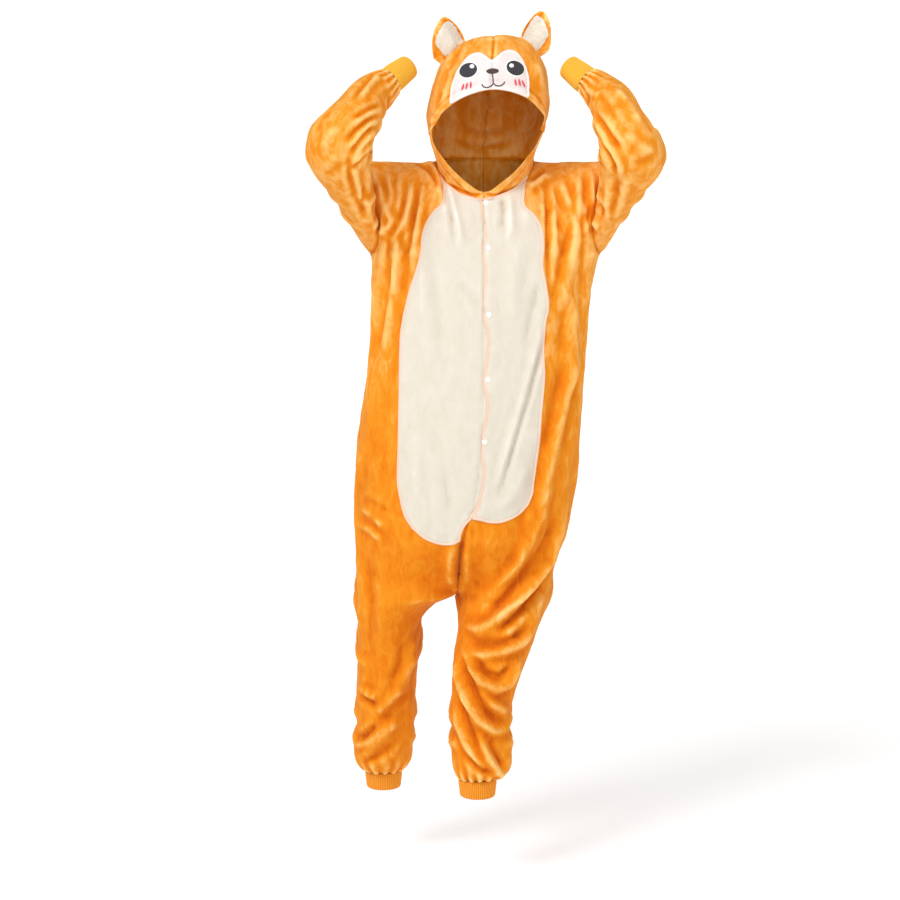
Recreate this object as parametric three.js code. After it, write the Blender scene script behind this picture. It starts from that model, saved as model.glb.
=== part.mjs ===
// A hooded monkey onesie of plush flannel, worn and hollow: both arms are raised with bent elbows, the hood
// is up and the left leg steps forward. Millimetres, +Z up, the front faces -Y and the wearer's left is +X.
// The origin is at the base of the neck, level with the shoulder seams, where the shoulders carry it.
import * as THREE from 'three';

// Driving sizes
const CLOTH = 1.6;            // plush flannel, pile included
const APPLIQUE = 1.2;         // the belly, the face and the eyes, sewn on top
const EAR_CLOTH = 3;          // two layers of plush turned right side out
const SEAM = 0.3;             // gap between two pieces at a seam, and under a piece that lies on another
const LAP_RISE = 1.0;         // how far the left side of the placket stands off the right side
const LAP_SHARE = 0.34;       // how far it reaches over the first column of the right belly
const UNDERARM_Z = -187;
const RISE_TOP_Z = -757;      // where the trunk begins to part into two legs
const CROTCH_Z = -885;
const TRUNK_ROUND = 0.83;     // exponent of the trunk's sections: below 1 is squarer than an ellipse
const LEG_ROUND = 0.92;
const FRONT_COLUMNS = 10;
const BACK_COLUMNS = 8;
const SHOULDER_COLUMNS = 4;   // the columns that end at the shoulder seam, in front and at the back
const EDGE_COLUMN = 5;        // the front column that follows the edge of the belly
const YOKE_ROWS = 8;          // from the underarm to the shoulder, half of a sleeve's columns
const RISE_ROWS = 5;
const TRUNK_LEVELS = [-757, -735, -712, -685, -650, -605, -550, -495, -440, -385, -330, -280, -230, -187];
const LEG_STEPS = [0, 0.035, 0.09, 0.17, 0.26, 0.36, 0.47, 0.58, 0.69, 0.8, 0.9, 0.965, 1];

const COLOURS = {
  plush: { color: 0xe38414, roughness: 0.95 },
  cream: { color: 0xefe6d8, roughness: 0.95 },
  ribbing: { color: 0xf0b93a, roughness: 0.9 },
  black: { color: 0x1c1b1d, roughness: 0.8 },
  brown: { color: 0x4a3a3a, roughness: 0.8 },
  snap: { color: 0xf4f1ea, roughness: 0.35 },
};
const SIDES = ['right', 'left'];
const FACES = ['front', 'back'];

// The trunk's sections: x of the side seams, the placket and the back seam, y of the front and the back.
const TRUNK = [
  { z: -885, right: -266, left: 140, placket: -54, spine: -54, front: -126, back: 136 },
  { z: -860, right: -266, left: 148, placket: -54, spine: -53, front: -132, back: 140 },
  { z: -776, right: -268, left: 166, placket: -51, spine: -48, front: -142, back: 144 },
  { z: -730, right: -269, left: 171, placket: -40, spine: -42, front: -146, back: 145 },
  { z: -680, right: -268, left: 177, placket: -20, spine: -36, front: -149, back: 143 },
  { z: -608, right: -264, left: 193, placket: -9, spine: -29, front: -150, back: 136 },
  { z: -525, right: -257, left: 195, placket: -3, spine: -22, front: -148, back: 124 },
  { z: -442, right: -245, left: 196, placket: -2, spine: -16, front: -145, back: 114 },
  { z: -360, right: -233, left: 203, placket: -2, spine: -11, front: -142, back: 108 },
  { z: -278, right: -231, left: 213, placket: -2, spine: -6, front: -138, back: 110 },
  { z: -187, right: -231, left: 234, placket: -3, spine: -2, front: -128, back: 114 },
];

// The legs' sections: x of the outer seam and the inseam, y of both, and the reach in front and behind.
const LEGS = {
  right: [
    { z: -1281, outer: -252, inner: -172, middle: 48, depth: 40 },
    { z: -1272, outer: -266, inner: -158, middle: 48, depth: 54 },
    { z: -1250, outer: -277, inner: -149, middle: 45, depth: 66 },
    { z: -1226, outer: -278, inner: -147, middle: 40, depth: 69 },
    { z: -1169, outer: -268, inner: -143, middle: 32, depth: 72 },
    { z: -1079, outer: -269, inner: -140, middle: 22, depth: 80 },
    { z: -991, outer: -263, inner: -130, middle: 14, depth: 92 },
    { z: -930, outer: -265, inner: -126, middle: 8, depth: 104 },
    { z: -905, outer: -267, inner: -110, middle: 4, depth: 110 },
    { z: -885, outer: -266, inner: -55, middle: 0, depth: 118 },
  ],
  left: [
    { z: -1252, outer: 24, inner: -52, middle: -105, depth: 38 },
    { z: -1243, outer: 48, inner: -60, middle: -104, depth: 54 },
    { z: -1220, outer: 58, inner: -67, middle: -102, depth: 66 },
    { z: -1184, outer: 57, inner: -71, middle: -100, depth: 70 },
    { z: -1132, outer: 50, inner: -69, middle: -96, depth: 70 },
    { z: -1049, outer: 71, inner: -67, middle: -85, depth: 80 },
    { z: -1009, outer: 89, inner: -64, middle: -74, depth: 88 },
    { z: -971, outer: 104, inner: -58, middle: -58, depth: 96 },
    { z: -934, outer: 117, inner: -54, middle: -36, depth: 106 },
    { z: -905, outer: 131, inner: -54, middle: -14, depth: 114 },
    { z: -885, outer: 140, inner: -53, middle: 0, depth: 118 },
  ],
};

// Neck and armholes, for a side whose outward direction is +X.
const NECK_SIDE = { x: 98, z: 5 };
const NECK_CENTRE = { front: { y: -100, z: -67 }, back: { y: 72, z: 10 } };
const BELLY_CORNER = 0.255;   // share of the front neckline above the belly's upper corner
const ARMHOLE = {
  right: { under: [231, 0, -187], top: [262, 0, 3], front: [217, -68, -93] },
  left: { under: [234, 0, -187], top: [262, 0, 3], front: [219, -68, -93] },
};

// The edge of the cream belly, as x at each height, and the height of its lower end.
const BELLY_EDGE = {
  right: [
    { z: -757, x: -100 }, { z: -745, x: -121 }, { z: -722, x: -147 }, { z: -690, x: -163 },
    { z: -650, x: -172 }, { z: -570, x: -176 }, { z: -470, x: -175 }, { z: -370, x: -172 },
    { z: -271, x: -168 }, { z: -196, x: -160 }, { z: -163, x: -150 }, { z: -126, x: -138 },
    { z: -97, x: -119 }, { z: -76, x: -84 }, { z: -50, x: -87 }, { z: -20, x: -90 },
  ],
  left: [
    { z: -712, x: 36 }, { z: -700, x: 62 }, { z: -685, x: 80 }, { z: -656, x: 94 },
    { z: -559, x: 108 }, { z: -487, x: 116 }, { z: -428, x: 120 }, { z: -331, x: 121 },
    { z: -283, x: 127 }, { z: -202, x: 114 }, { z: -128, x: 113 }, { z: -108, x: 99 },
    { z: -86, x: 75 }, { z: -56, x: 78 }, { z: -22, x: 82 },
  ],
};
const BELLY_END_Z = { right: -757, left: -712 };
const EDGE_RETURN = 95;       // below the belly its column drifts back to the middle over this height

// Largest folds of the body, as a ridge (+) or a trough (-) from one end to the other, seen from the front.
const BODY_FOLDS = [
  { face: 'front', x1: 205, z1: -400, x2: 100, z2: -790, height: 11, width: 26 },
  { face: 'front', x1: 178, z1: -640, x2: 120, z2: -800, height: 8, width: 18 },
  { face: 'front', x1: 150, z1: -430, x2: 75, z2: -760, height: -7, width: 24 },
  { face: 'front', x1: 196, z1: -215, x2: 176, z2: -520, height: 8, width: 22 },
  { face: 'front', x1: -196, z1: -200, x2: -206, z2: -480, height: 8, width: 22 },
  { face: 'front', x1: -205, z1: -80, x2: -176, z2: -230, height: 7, width: 16 },
  { face: 'front', x1: -160, z1: -70, x2: -190, z2: -250, height: -6, width: 16 },
  { face: 'front', x1: 200, z1: -70, x2: 168, z2: -230, height: 7, width: 16 },
  { face: 'front', x1: 140, z1: -80, x2: 190, z2: -270, height: -6, width: 16 },
  { face: 'front', x1: -235, z1: -560, x2: -150, z2: -850, height: 8, width: 26 },
  { face: 'front', x1: 110, z1: -830, x2: -40, z2: -960, height: 9, width: 20 },
  { face: 'front', x1: 96, z1: -920, x2: -40, z2: -1010, height: 8, width: 18 },
  { face: 'front', x1: 60, z1: -1060, x2: -50, z2: -1020, height: 7, width: 18 },
  { face: 'front', x1: 40, z1: -1150, x2: -58, z2: -1090, height: 8, width: 18 },
  { face: 'front', x1: 44, z1: -1215, x2: -50, z2: -1165, height: 6, width: 16 },
  { face: 'front', x1: -145, z1: -1010, x2: -235, z2: -1130, height: 8, width: 20 },
  { face: 'front', x1: -150, z1: -1150, x2: -255, z2: -1195, height: 7, width: 18 },
  { face: 'back', x1: -190, z1: -200, x2: -120, z2: -470, height: 9, width: 26 },
  { face: 'back', x1: 185, z1: -200, x2: 130, z2: -470, height: 9, width: 26 },
  { face: 'back', x1: -230, z1: -560, x2: -130, z2: -830, height: 9, width: 26 },
  { face: 'back', x1: 165, z1: -560, x2: 20, z2: -820, height: 9, width: 26 },
  { face: 'back', x1: -250, z1: -960, x2: -160, z2: -1060, height: 8, width: 20 },
  { face: 'back', x1: -250, z1: -1130, x2: -160, z2: -1190, height: 7, width: 18 },
  { face: 'back', x1: 100, z1: -960, x2: -30, z2: -1050, height: 8, width: 20 },
  { face: 'back', x1: 50, z1: -1130, x2: -50, z2: -1190, height: 7, width: 18 },
];

// The sleeves' sections: centre and half sizes, from the upper arm to the gathers at the wrist.
const SLEEVES = {
  right: [
    { x: -281, y: -160, z: 3, tall: 64, deep: 62 },
    { x: -285, y: -184, z: 21, tall: 66, deep: 64 },
    { x: -281, y: -198, z: 36, tall: 65, deep: 63 },
    { x: -272, y: -202, z: 51, tall: 62, deep: 60 },
    { x: -262, y: -196, z: 68, tall: 56, deep: 54 },
    { x: -248, y: -176, z: 88, tall: 50, deep: 48 },
    { x: -233, y: -140, z: 116, tall: 46, deep: 44 },
    { x: -212, y: -108, z: 138, tall: 41, deep: 39 },
    { x: -187, y: -89, z: 158, tall: 27, deep: 27 },
  ],
  left: [
    { x: 280, y: -160, z: 3, tall: 66, deep: 64 },
    { x: 281, y: -184, z: 16, tall: 66, deep: 64 },
    { x: 274, y: -198, z: 28, tall: 63, deep: 61 },
    { x: 266, y: -202, z: 43, tall: 59, deep: 57 },
    { x: 257, y: -196, z: 65, tall: 53, deep: 51 },
    { x: 250, y: -176, z: 88, tall: 49, deep: 47 },
    { x: 241, y: -142, z: 114, tall: 46, deep: 44 },
    { x: 222, y: -110, z: 136, tall: 40, deep: 38 },
    { x: 197, y: -91, z: 157, tall: 26, deep: 26 },
  ],
};
const UPPER_RINGS = 7;        // from the armhole to the first section
const LOWER_RINGS = 12;       // from there to the wrist
const UPPER_HOLLOW = { front: 0.1, back: 0.03 };   // how far the slack cloth of the upper arm sinks in
const GATHER = { share: 0.035, reach: 45 };   // the gathers at a cuff: share of the radius, and height
const WRIST_CUFF = { length: 52, start: 27, tip: 22.5, ribs: 22 };
const ANKLE_CUFF = { length: 36, start: 38.5, tip: 35, ribs: 26 };
const RIB_HEIGHT = 0.7;

// The hood's arches, from the face opening (arch 0) over the neck's side (6) to the back seam (10). Each
// rises from the neckline through three side points (w outwards, y, z) to the crown. It leans to the left.
const HOOD = [
  { arch: 0, lowW: 72, lowY: -110, lowZ: -8, wideW: 111, wideY: -102, wideZ: 58,
    highW: 82, highY: -132, highZ: 110, crownY: -155, crownZ: 137 },
  { arch: 3, lowW: 98, lowY: -84, lowZ: 12, wideW: 118, wideY: -72, wideZ: 78,
    highW: 98, highY: -108, highZ: 162, crownY: -142, crownZ: 200 },
  { arch: 6, lowW: 108, lowY: -20, lowZ: 42, wideW: 121, wideY: -28, wideZ: 112,
    highW: 88, highY: -50, highZ: 222, crownY: -78, crownZ: 246 },
  { arch: 8, lowW: 84, lowY: 54, lowZ: 50, wideW: 102, wideY: 58, wideZ: 108,
    highW: 80, highY: 40, highZ: 198, crownY: 18, crownZ: 232 },
  { arch: 10, lowW: 0, lowY: 90, lowZ: 50, wideW: 0, wideY: 110, wideZ: 98,
    highW: 0, highY: 112, highZ: 140, crownY: 98, crownZ: 180 },
];
const HOOD_ROWS = 14;
const HOOD_ARCHES = 10;
const HOOD_LEAN = 0.073;      // shift to the left for each unit of height
const HOOD_TILT = 0.08;       // rise for each unit to the left
const LEAN_FROM = { z: 12, over: 40 };   // both grow from just above the neckline
const FACE_ROW = 8;           // the hood row that follows the side of the face
const FACE_ARCH = 3;          // the hood arch that follows the top of the face
const WIDEST_SHARE = 0.55;    // above this share of an arch the hood only narrows
const EVEN_ARCHES = { from: 6, over: 2 };   // behind these arches the rows are spread evenly
const FACE_HALF_WIDTH = 77;
const FACE_TOP = [
  { w: 0, z: 203 }, { w: 15, z: 210 }, { w: 31, z: 215 }, { w: 46, z: 208 }, { w: 62, z: 190 },
  { w: 77, z: 150 },
];
const EYE = { w: 46, z: 177, wide: 18, tall: 14, tilt: 0.3 };
const NOSE = { w: 0, z: 173, wide: 12, tall: 5, tilt: 0 };
const EAR = { reach: 62, straight: 0.3, flare: 1.12, cup: 11, rise: 0.26 };
const EAR_ROOT = { arch: 6, from: 7, to: 10.2 };   // the hood's arch and rows that the ear is sewn along
const EAR_COLUMNS = 8;
const EAR_ROWS = 5;

const SNAP = { radius: 5.5, thick: 2.4, sides: 14, levels: [-80, -168, -298, -426, -550] };

const point = (x, y, z) => new THREE.Vector3(x, y, z);
const mix = (a, b, share) => a + (b - a) * share;
const outward = (side) => (side === 'right' ? -1 : 1);
const smooth = (t) => {
  const c = Math.min(1, Math.max(0, t));
  return c * c * (3 - 2 * c);
};

// Reads one column of a table, smoothly and without overshoot. Its rows rise in `key`.
function read(table, key, at, column) {
  let i = 0;
  while (i < table.length - 2 && at > table[i + 1][key]) i += 1;
  const slope = (k) => {
    if (k <= 0 || k >= table.length - 1) return null;
    const before = (table[k][column] - table[k - 1][column]) / (table[k][key] - table[k - 1][key]);
    const after = (table[k + 1][column] - table[k][column]) / (table[k + 1][key] - table[k][key]);
    return before * after <= 0 ? 0 : 2 * before * after / (before + after);
  };
  const step = table[i + 1][key] - table[i][key];
  const chord = (table[i + 1][column] - table[i][column]) / step;
  const from = slope(i) ?? chord;
  const to = slope(i + 1) ?? chord;
  const t = Math.min(1, Math.max(0, (at - table[i][key]) / step));
  return table[i][column] * (1 + 2 * t) * (1 - t) ** 2 + from * step * t * (1 - t) ** 2
    + table[i + 1][column] * t * t * (3 - 2 * t) + to * step * t * t * (t - 1);
}

// Finds where a falling function of 0 to 1 reaches zero.
function solve(fall, low = 0, high = 1) {
  let a = low;
  let b = high;
  for (let i = 0; i < 40; i += 1) {
    const half = (a + b) / 2;
    if (fall(half) > 0) a = half;
    else b = half;
  }
  return (a + b) / 2;
}

// ---- Body: u runs from the side seam (0) to the centre seam or inseam (1) ----
function trunkPoint(side, face, u, z) {
  const seam = read(TRUNK, 'z', z, side);
  const centre = read(TRUNK, 'z', z, face === 'front' ? 'placket' : 'spine');
  const turn = u * Math.PI / 2;
  return point(
    centre + (seam - centre) * Math.max(0, Math.cos(turn)) ** TRUNK_ROUND,
    read(TRUNK, 'z', z, face) * Math.sin(turn) ** TRUNK_ROUND,
    z,
  );
}

function legPoint(side, face, u, z) {
  const outer = read(LEGS[side], 'z', z, 'outer');
  const inner = read(LEGS[side], 'z', z, 'inner');
  const depth = read(LEGS[side], 'z', z, 'depth') * (face === 'front' ? -1 : 1);
  const columns = face === 'front' ? FRONT_COLUMNS : BACK_COLUMNS;
  const gathered = smooth(1 - (z - LEGS[side][0].z) / GATHER.reach);
  const swell = 1 + GATHER.share * gathered * Math.cos(u * columns * Math.PI);
  const turn = u * Math.PI;
  return point(
    (outer + inner) / 2 + (outer - inner) / 2 * swell * Math.cos(turn),
    read(LEGS[side], 'z', z, 'middle') + depth * swell * Math.max(0, Math.sin(turn)) ** LEG_ROUND,
    z,
  );
}

function bodyPoint(side, face, u, z) {
  if (z >= RISE_TOP_Z) return trunkPoint(side, face, u, z);
  if (z <= CROTCH_Z) return legPoint(side, face, u, z);
  const fall = (RISE_TOP_Z - z) / (RISE_TOP_Z - CROTCH_Z);
  const curved = 1 - Math.sqrt(1 - fall * fall);
  return trunkPoint(side, face, u, z).lerp(legPoint(side, face, u, z), mix(smooth(fall), curved, u ** 4));
}

function armholePoint(side, face, share) {
  const place = (name) => {
    const [x, y, z] = ARMHOLE[side][name];
    return point(x * outward(side), y, z);
  };
  const middle = place('under').add(place('top')).multiplyScalar(0.5);
  const rise = place('top').sub(middle);
  const ahead = place('front').sub(middle).multiplyScalar(face === 'front' ? 1 : -1);
  const turn = share * Math.PI;
  return middle.addScaledVector(rise, -Math.cos(turn)).addScaledVector(ahead, Math.sin(turn));
}

function neckPoint(side, face, share) {
  const centre = read(TRUNK, 'z', UNDERARM_Z, face === 'front' ? 'placket' : 'spine');
  const turn = share * Math.PI / 2;
  const { y, z } = NECK_CENTRE[face];
  return point(
    mix(centre, NECK_SIDE.x * outward(side), Math.max(0, Math.cos(turn))),
    y * Math.sin(turn),
    mix(NECK_SIDE.z, z, Math.sin(turn)),
  );
}

// The upper edge of a panel: its shoulder seam, then its neckline.
function topPoint(side, face, u) {
  const turnAt = SHOULDER_COLUMNS / (face === 'front' ? FRONT_COLUMNS : BACK_COLUMNS);
  if (u <= turnAt) return armholePoint(side, face, 1).lerp(neckPoint(side, face, 0), u / turnAt);
  if (face === 'back') return neckPoint(side, face, (u - turnAt) / (1 - turnAt));
  const edgeAt = EDGE_COLUMN / FRONT_COLUMNS;
  if (u <= edgeAt) return neckPoint(side, face, BELLY_CORNER * (u - turnAt) / (edgeAt - turnAt));
  return neckPoint(side, face, mix(BELLY_CORNER, 1, (u - edgeAt) / (1 - edgeAt)));
}

// Above the underarm a panel is a patch between its section there, armhole, centre seam and upper edge.
function yokePoint(side, face, u, s) {
  const low = trunkPoint(side, face, u, UNDERARM_Z);
  const high = topPoint(side, face, u);
  const arm = armholePoint(side, face, s);
  const centre = trunkPoint(side, face, 1, UNDERARM_Z).lerp(neckPoint(side, face, 1), s);
  const corners = trunkPoint(side, face, 0, UNDERARM_Z).multiplyScalar((1 - u) * (1 - s))
    .addScaledVector(trunkPoint(side, face, 1, UNDERARM_Z), u * (1 - s))
    .addScaledVector(topPoint(side, face, 0), (1 - u) * s)
    .addScaledVector(topPoint(side, face, 1), u * s);
  return low.multiplyScalar(1 - s).addScaledVector(high, s)
    .addScaledVector(arm, 1 - u).addScaledVector(centre, u).sub(corners);
}

// Where the front's column along the belly's edge lies, as u on one row.
function edgeShare(side, place, z) {
  const middle = EDGE_COLUMN / FRONT_COLUMNS;
  if (z !== null && z < BELLY_END_Z[side]) {
    const end = BELLY_END_Z[side];
    const start = edgeShare(side, (u) => trunkPoint(side, 'front', u, end), end);
    return mix(start, middle, smooth((end - z) / EDGE_RETURN));
  }
  return solve((u) => {
    const at = place(u);
    return (at.x - read(BELLY_EDGE[side], 'z', at.z, 'x')) * outward(side);
  });
}

function panelRow(side, face, place, edge) {
  const columns = face === 'front' ? FRONT_COLUMNS : BACK_COLUMNS;
  const row = [];
  for (let k = 0; k <= columns; k += 1) {
    let u = k / columns;
    if (face === 'front') {
      u = k <= EDGE_COLUMN ? edge * k / EDGE_COLUMN
        : mix(edge, 1, (k - EDGE_COLUMN) / (columns - EDGE_COLUMN));
    }
    row.push(place(u));
  }
  return row;
}

function panelSheet(side, face) {
  const hem = LEGS[side][0].z;
  const levels = LEG_STEPS.map((share) => mix(hem, CROTCH_Z, share));
  for (let k = RISE_ROWS - 1; k > 0; k -= 1) {
    levels.push(mix(RISE_TOP_Z, CROTCH_Z, Math.sin(k / RISE_ROWS * Math.PI / 2)));
  }
  const rows = [...levels, ...TRUNK_LEVELS].map((z) => {
    const place = (u) => bodyPoint(side, face, u, z);
    return panelRow(side, face, place, edgeShare(side, place, z));
  });
  for (let k = 1; k <= YOKE_ROWS; k += 1) {
    const place = (u) => yokePoint(side, face, u, k / YOKE_ROWS);
    const edge = k === YOKE_ROWS ? EDGE_COLUMN / FRONT_COLUMNS : edgeShare(side, place, null);
    rows.push(panelRow(side, face, place, edge));
  }
  return { points: rows, facing: point(0, face === 'front' ? -1 : 1, 0) };
}

// ---- Sleeves: rings from the armhole to the wrist ----
function sleeveSheet(side, panels) {
  const lastRow = panels[`front_${side}`].points.length - 1;
  const edge = (face, k) => panels[`${face}_${side}`].points[lastRow - YOKE_ROWS + k][0];
  const armhole = [];
  for (let k = 0; k < YOKE_ROWS; k += 1) armhole.push(edge('front', k).clone());
  for (let k = YOKE_ROWS; k > 0; k -= 1) armhole.push(edge('back', k).clone());
  const middle = edge('front', 0).clone().add(edge('front', YOKE_ROWS)).multiplyScalar(0.5);
  const centres = SLEEVES[side].map((row) => point(row.x, row.y, row.z));
  const path = new THREE.CatmullRomCurve3(centres, false, 'centripetal');
  const sizes = SLEEVES[side].map((row, i) => ({ ...row, share: i / (SLEEVES[side].length - 1) }));

  let up = edge('front', YOKE_ROWS).clone().sub(middle).normalize();
  const lower = [];
  for (let ring = 0; ring <= LOWER_RINGS; ring += 1) {
    const share = ring / LOWER_RINGS;
    const centre = path.getPoint(share);
    const along = path.getTangent(share);
    up = up.addScaledVector(along, -up.dot(along)).normalize();
    const ahead = along.clone().cross(up).multiplyScalar(outward(side)).normalize();
    const tall = read(sizes, 'share', share, 'tall');
    const deep = read(sizes, 'share', share, 'deep');
    const gathered = smooth(1 - (1 - share) * path.getLength() / GATHER.reach);
    lower.push(armhole.map((_, k) => {
      const turn = k / YOKE_ROWS * Math.PI;
      const swell = 1 + GATHER.share * gathered * (-1) ** k;
      return centre.clone().addScaledVector(up, -tall * swell * Math.cos(turn))
        .addScaledVector(ahead, deep * swell * Math.sin(turn));
    }));
  }
  const start = path.getPoint(0);
  const upper = [];
  for (let ring = 0; ring < UPPER_RINGS; ring += 1) {
    const share = ring / UPPER_RINGS;
    const centre = middle.clone().lerp(start, share);
    upper.push(armhole.map((p, k) => {
      const hollow = k < YOKE_ROWS ? UPPER_HOLLOW.front : UPPER_HOLLOW.back;
      const sink = hollow * Math.sin(share * Math.PI) * Math.abs(Math.sin(k / YOKE_ROWS * Math.PI));
      return p.clone().lerp(lower[0][k], share).lerp(centre, sink);
    }));
  }
  return { points: [...upper, ...lower], closed: true, end: path.getPoint(1), axis: path.getTangent(1) };
}

// A ribbed cuff starts where the gathered cloth ends, and runs straight on along `axis`.
function cuffSheet(start, axis, size) {
  const across = point(0, 1, 0).cross(axis).normalize();
  const ahead = axis.clone().cross(across).normalize();
  const rings = [0, 1].map((share) => {
    const centre = start.clone().addScaledVector(axis, SEAM + share * size.length);
    const radius = mix(size.start, size.tip, share);
    const row = [];
    for (let k = 0; k < 2 * size.ribs; k += 1) {
      const turn = k / size.ribs * Math.PI;
      row.push(centre.clone().addScaledVector(across, radius * Math.cos(turn))
        .addScaledVector(ahead, radius * Math.sin(turn)));
    }
    return row;
  });
  return { points: rings, closed: true };
}

// ---- Hood: arches from the neckline to the crown seam, w outwards ----
function hoodFoot(side, arch) {
  const frontCells = FRONT_COLUMNS - SHOULDER_COLUMNS;
  if (arch <= frontCells) return topPoint(side, 'front', 1 - arch / FRONT_COLUMNS);
  return topPoint(side, 'back', (SHOULDER_COLUMNS + arch - frontCells) / BACK_COLUMNS);
}

function hoodUpright(side, arch, share) {
  const get = (column) => read(HOOD, 'arch', arch, column);
  const foot = hoodFoot(side, arch);
  const out = outward(side);
  const centre = hoodFoot(side, 0).x;
  const via = (name) => point(centre + get(`${name}W`) * out, get(`${name}Y`), get(`${name}Z`));
  const crown = point(centre, get('crownY'), get('crownZ'));
  const high = via('high');
  const mirrored = point(2 * centre - high.x, high.y, high.z);
  const knots = [foot, via('low'), via('wide'), high, crown, mirrored];
  const at = Math.min(share * 4, 4 - 1e-9);
  const i = Math.floor(at);
  const before = i === 0 ? foot.clone().multiplyScalar(2).sub(knots[1]) : knots[i - 1];
  const around = [before, knots[i], knots[i + 1], knots[i + 2]];
  const curve = new THREE.CatmullRomCurve3(around, false, 'catmullrom', 0.5);
  return curve.getPoint((1 + at - i) / 3);
}

function hoodPoint(side, arch, share) {
  const at = hoodUpright(side, arch, share);
  const grown = smooth((at.z - LEAN_FROM.z) / LEAN_FROM.over);
  return point(at.x + HOOD_LEAN * grown * at.z, at.y, at.z + HOOD_TILT * grown * at.x);
}

const hoodWidth = (side, arch, share) => Math.abs(hoodUpright(side, arch, share).x - hoodFoot(side, 0).x);

// The share along an arch where the hood is as wide as w, between its widest place and the crown.
function shareAtWidth(side, arch, w) {
  return solve((share) => hoodWidth(side, arch, share) - w, WIDEST_SHARE, 1);
}

// The arch that passes through height z at width w.
function archAtHeight(side, w, z) {
  return solve((arch) => z - hoodUpright(side, arch, shareAtWidth(side, arch, w)).z, 0, EVEN_ARCHES.from);
}

function hoodSheet(side) {
  const faceArch = [];
  for (let row = FACE_ROW; row <= HOOD_ROWS; row += 1) {
    const w = FACE_HALF_WIDTH * (HOOD_ROWS - row) / (HOOD_ROWS - FACE_ROW);
    faceArch[row] = archAtHeight(side, w, read(FACE_TOP, 'w', w, 'z'));
  }
  for (let row = 0; row < FACE_ROW; row += 1) {
    faceArch[row] = mix(FACE_ARCH, faceArch[FACE_ROW], smooth(row / FACE_ROW));
  }
  const rows = [];
  for (let row = 0; row <= HOOD_ROWS; row += 1) {
    const line = [];
    for (let k = 0; k <= HOOD_ARCHES; k += 1) {
      const arch = k <= FACE_ARCH ? faceArch[row] * k / FACE_ARCH
        : mix(faceArch[row], HOOD_ARCHES, (k - FACE_ARCH) / (HOOD_ARCHES - FACE_ARCH));
      const faceShare = shareAtWidth(side, Math.min(arch, EVEN_ARCHES.from + 1), FACE_HALF_WIDTH);
      const w = FACE_HALF_WIDTH * (HOOD_ROWS - row) / (HOOD_ROWS - FACE_ROW);
      let share = row <= FACE_ROW ? faceShare * row / FACE_ROW : shareAtWidth(side, arch, w);
      const even = smooth((arch - EVEN_ARCHES.from) / EVEN_ARCHES.over);
      share = mix(share, row / HOOD_ROWS, even);
      line.push(hoodPoint(side, arch, share));
    }
    rows.push(line);
  }
  return { points: rows, facing: point(outward(side), 0, 0.5) };
}

// ---- Sheets become walls ----
function ownNormals(sheet) {
  const { points, closed } = sheet;
  const wide = points[0].length;
  const sums = points.map((row) => row.map(() => point(0, 0, 0)));
  for (let r = 0; r < points.length - 1; r += 1) {
    for (let c = 0; c < (closed ? wide : wide - 1); c += 1) {
      const d = (c + 1) % wide;
      const across = points[r + 1][d].clone().sub(points[r][c]);
      const face = across.cross(points[r + 1][c].clone().sub(points[r][d]));
      for (const [i, j] of [[r, c], [r, d], [r + 1, c], [r + 1, d]]) sums[i][j].add(face);
    }
  }
  let agree = 0;
  points.forEach((row, r) => {
    const centre = row.reduce((sum, p) => sum.add(p), point(0, 0, 0)).divideScalar(wide);
    row.forEach((p, c) => {
      agree += sums[r][c].dot(closed ? p.clone().sub(centre) : sheet.facing);
    });
  });
  if (agree < 0) sums.forEach((row) => row.forEach((n) => n.negate()));
  sheet.normals = sums;
}

// Sheets that share a seam share its normals, so that their walls meet in one face there.
function sewTogether(sheets) {
  const seams = new Map();
  const key = (p) => [p.x, p.y, p.z].map((value) => Math.round(value * 100)).join();
  sheets.forEach((sheet) => {
    ownNormals(sheet);
    sheet.points.forEach((row, r) => row.forEach((p, c) => {
      const sum = seams.get(key(p)) ?? point(0, 0, 0);
      seams.set(key(p), sum.add(sheet.normals[r][c].clone().normalize()));
    }));
  });
  sheets.forEach((sheet) => {
    sheet.normals = sheet.points.map((row) => row.map((p) => seams.get(key(p)).clone().normalize()));
  });
}

function foldHeight(p, n) {
  let height = 0;
  for (const fold of BODY_FOLDS) {
    const length = Math.hypot(fold.x2 - fold.x1, fold.z2 - fold.z1);
    const alongX = (fold.x2 - fold.x1) / length;
    const alongZ = (fold.z2 - fold.z1) / length;
    const along = ((p.x - fold.x1) * alongX + (p.z - fold.z1) * alongZ) / length;
    if (along <= 0 || along >= 1) continue;
    const off = (p.x - fold.x1) * alongZ - (p.z - fold.z1) * alongX;
    const facing = smooth(0.5 - n.y * (fold.face === 'front' ? 1.2 : -1.2));
    const rise = Math.sin(along * Math.PI) ** 0.7 * Math.exp(-((off / fold.width) ** 2));
    height += fold.height * facing * rise;
  }
  return height;
}

function fold(sheets) {
  sheets.forEach((sheet) => sheet.points.forEach((row, r) => row.forEach((p, c) => {
    p.addScaledVector(sheet.normals[r][c], foldHeight(p, sheet.normals[r][c]));
  })));
}

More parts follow.
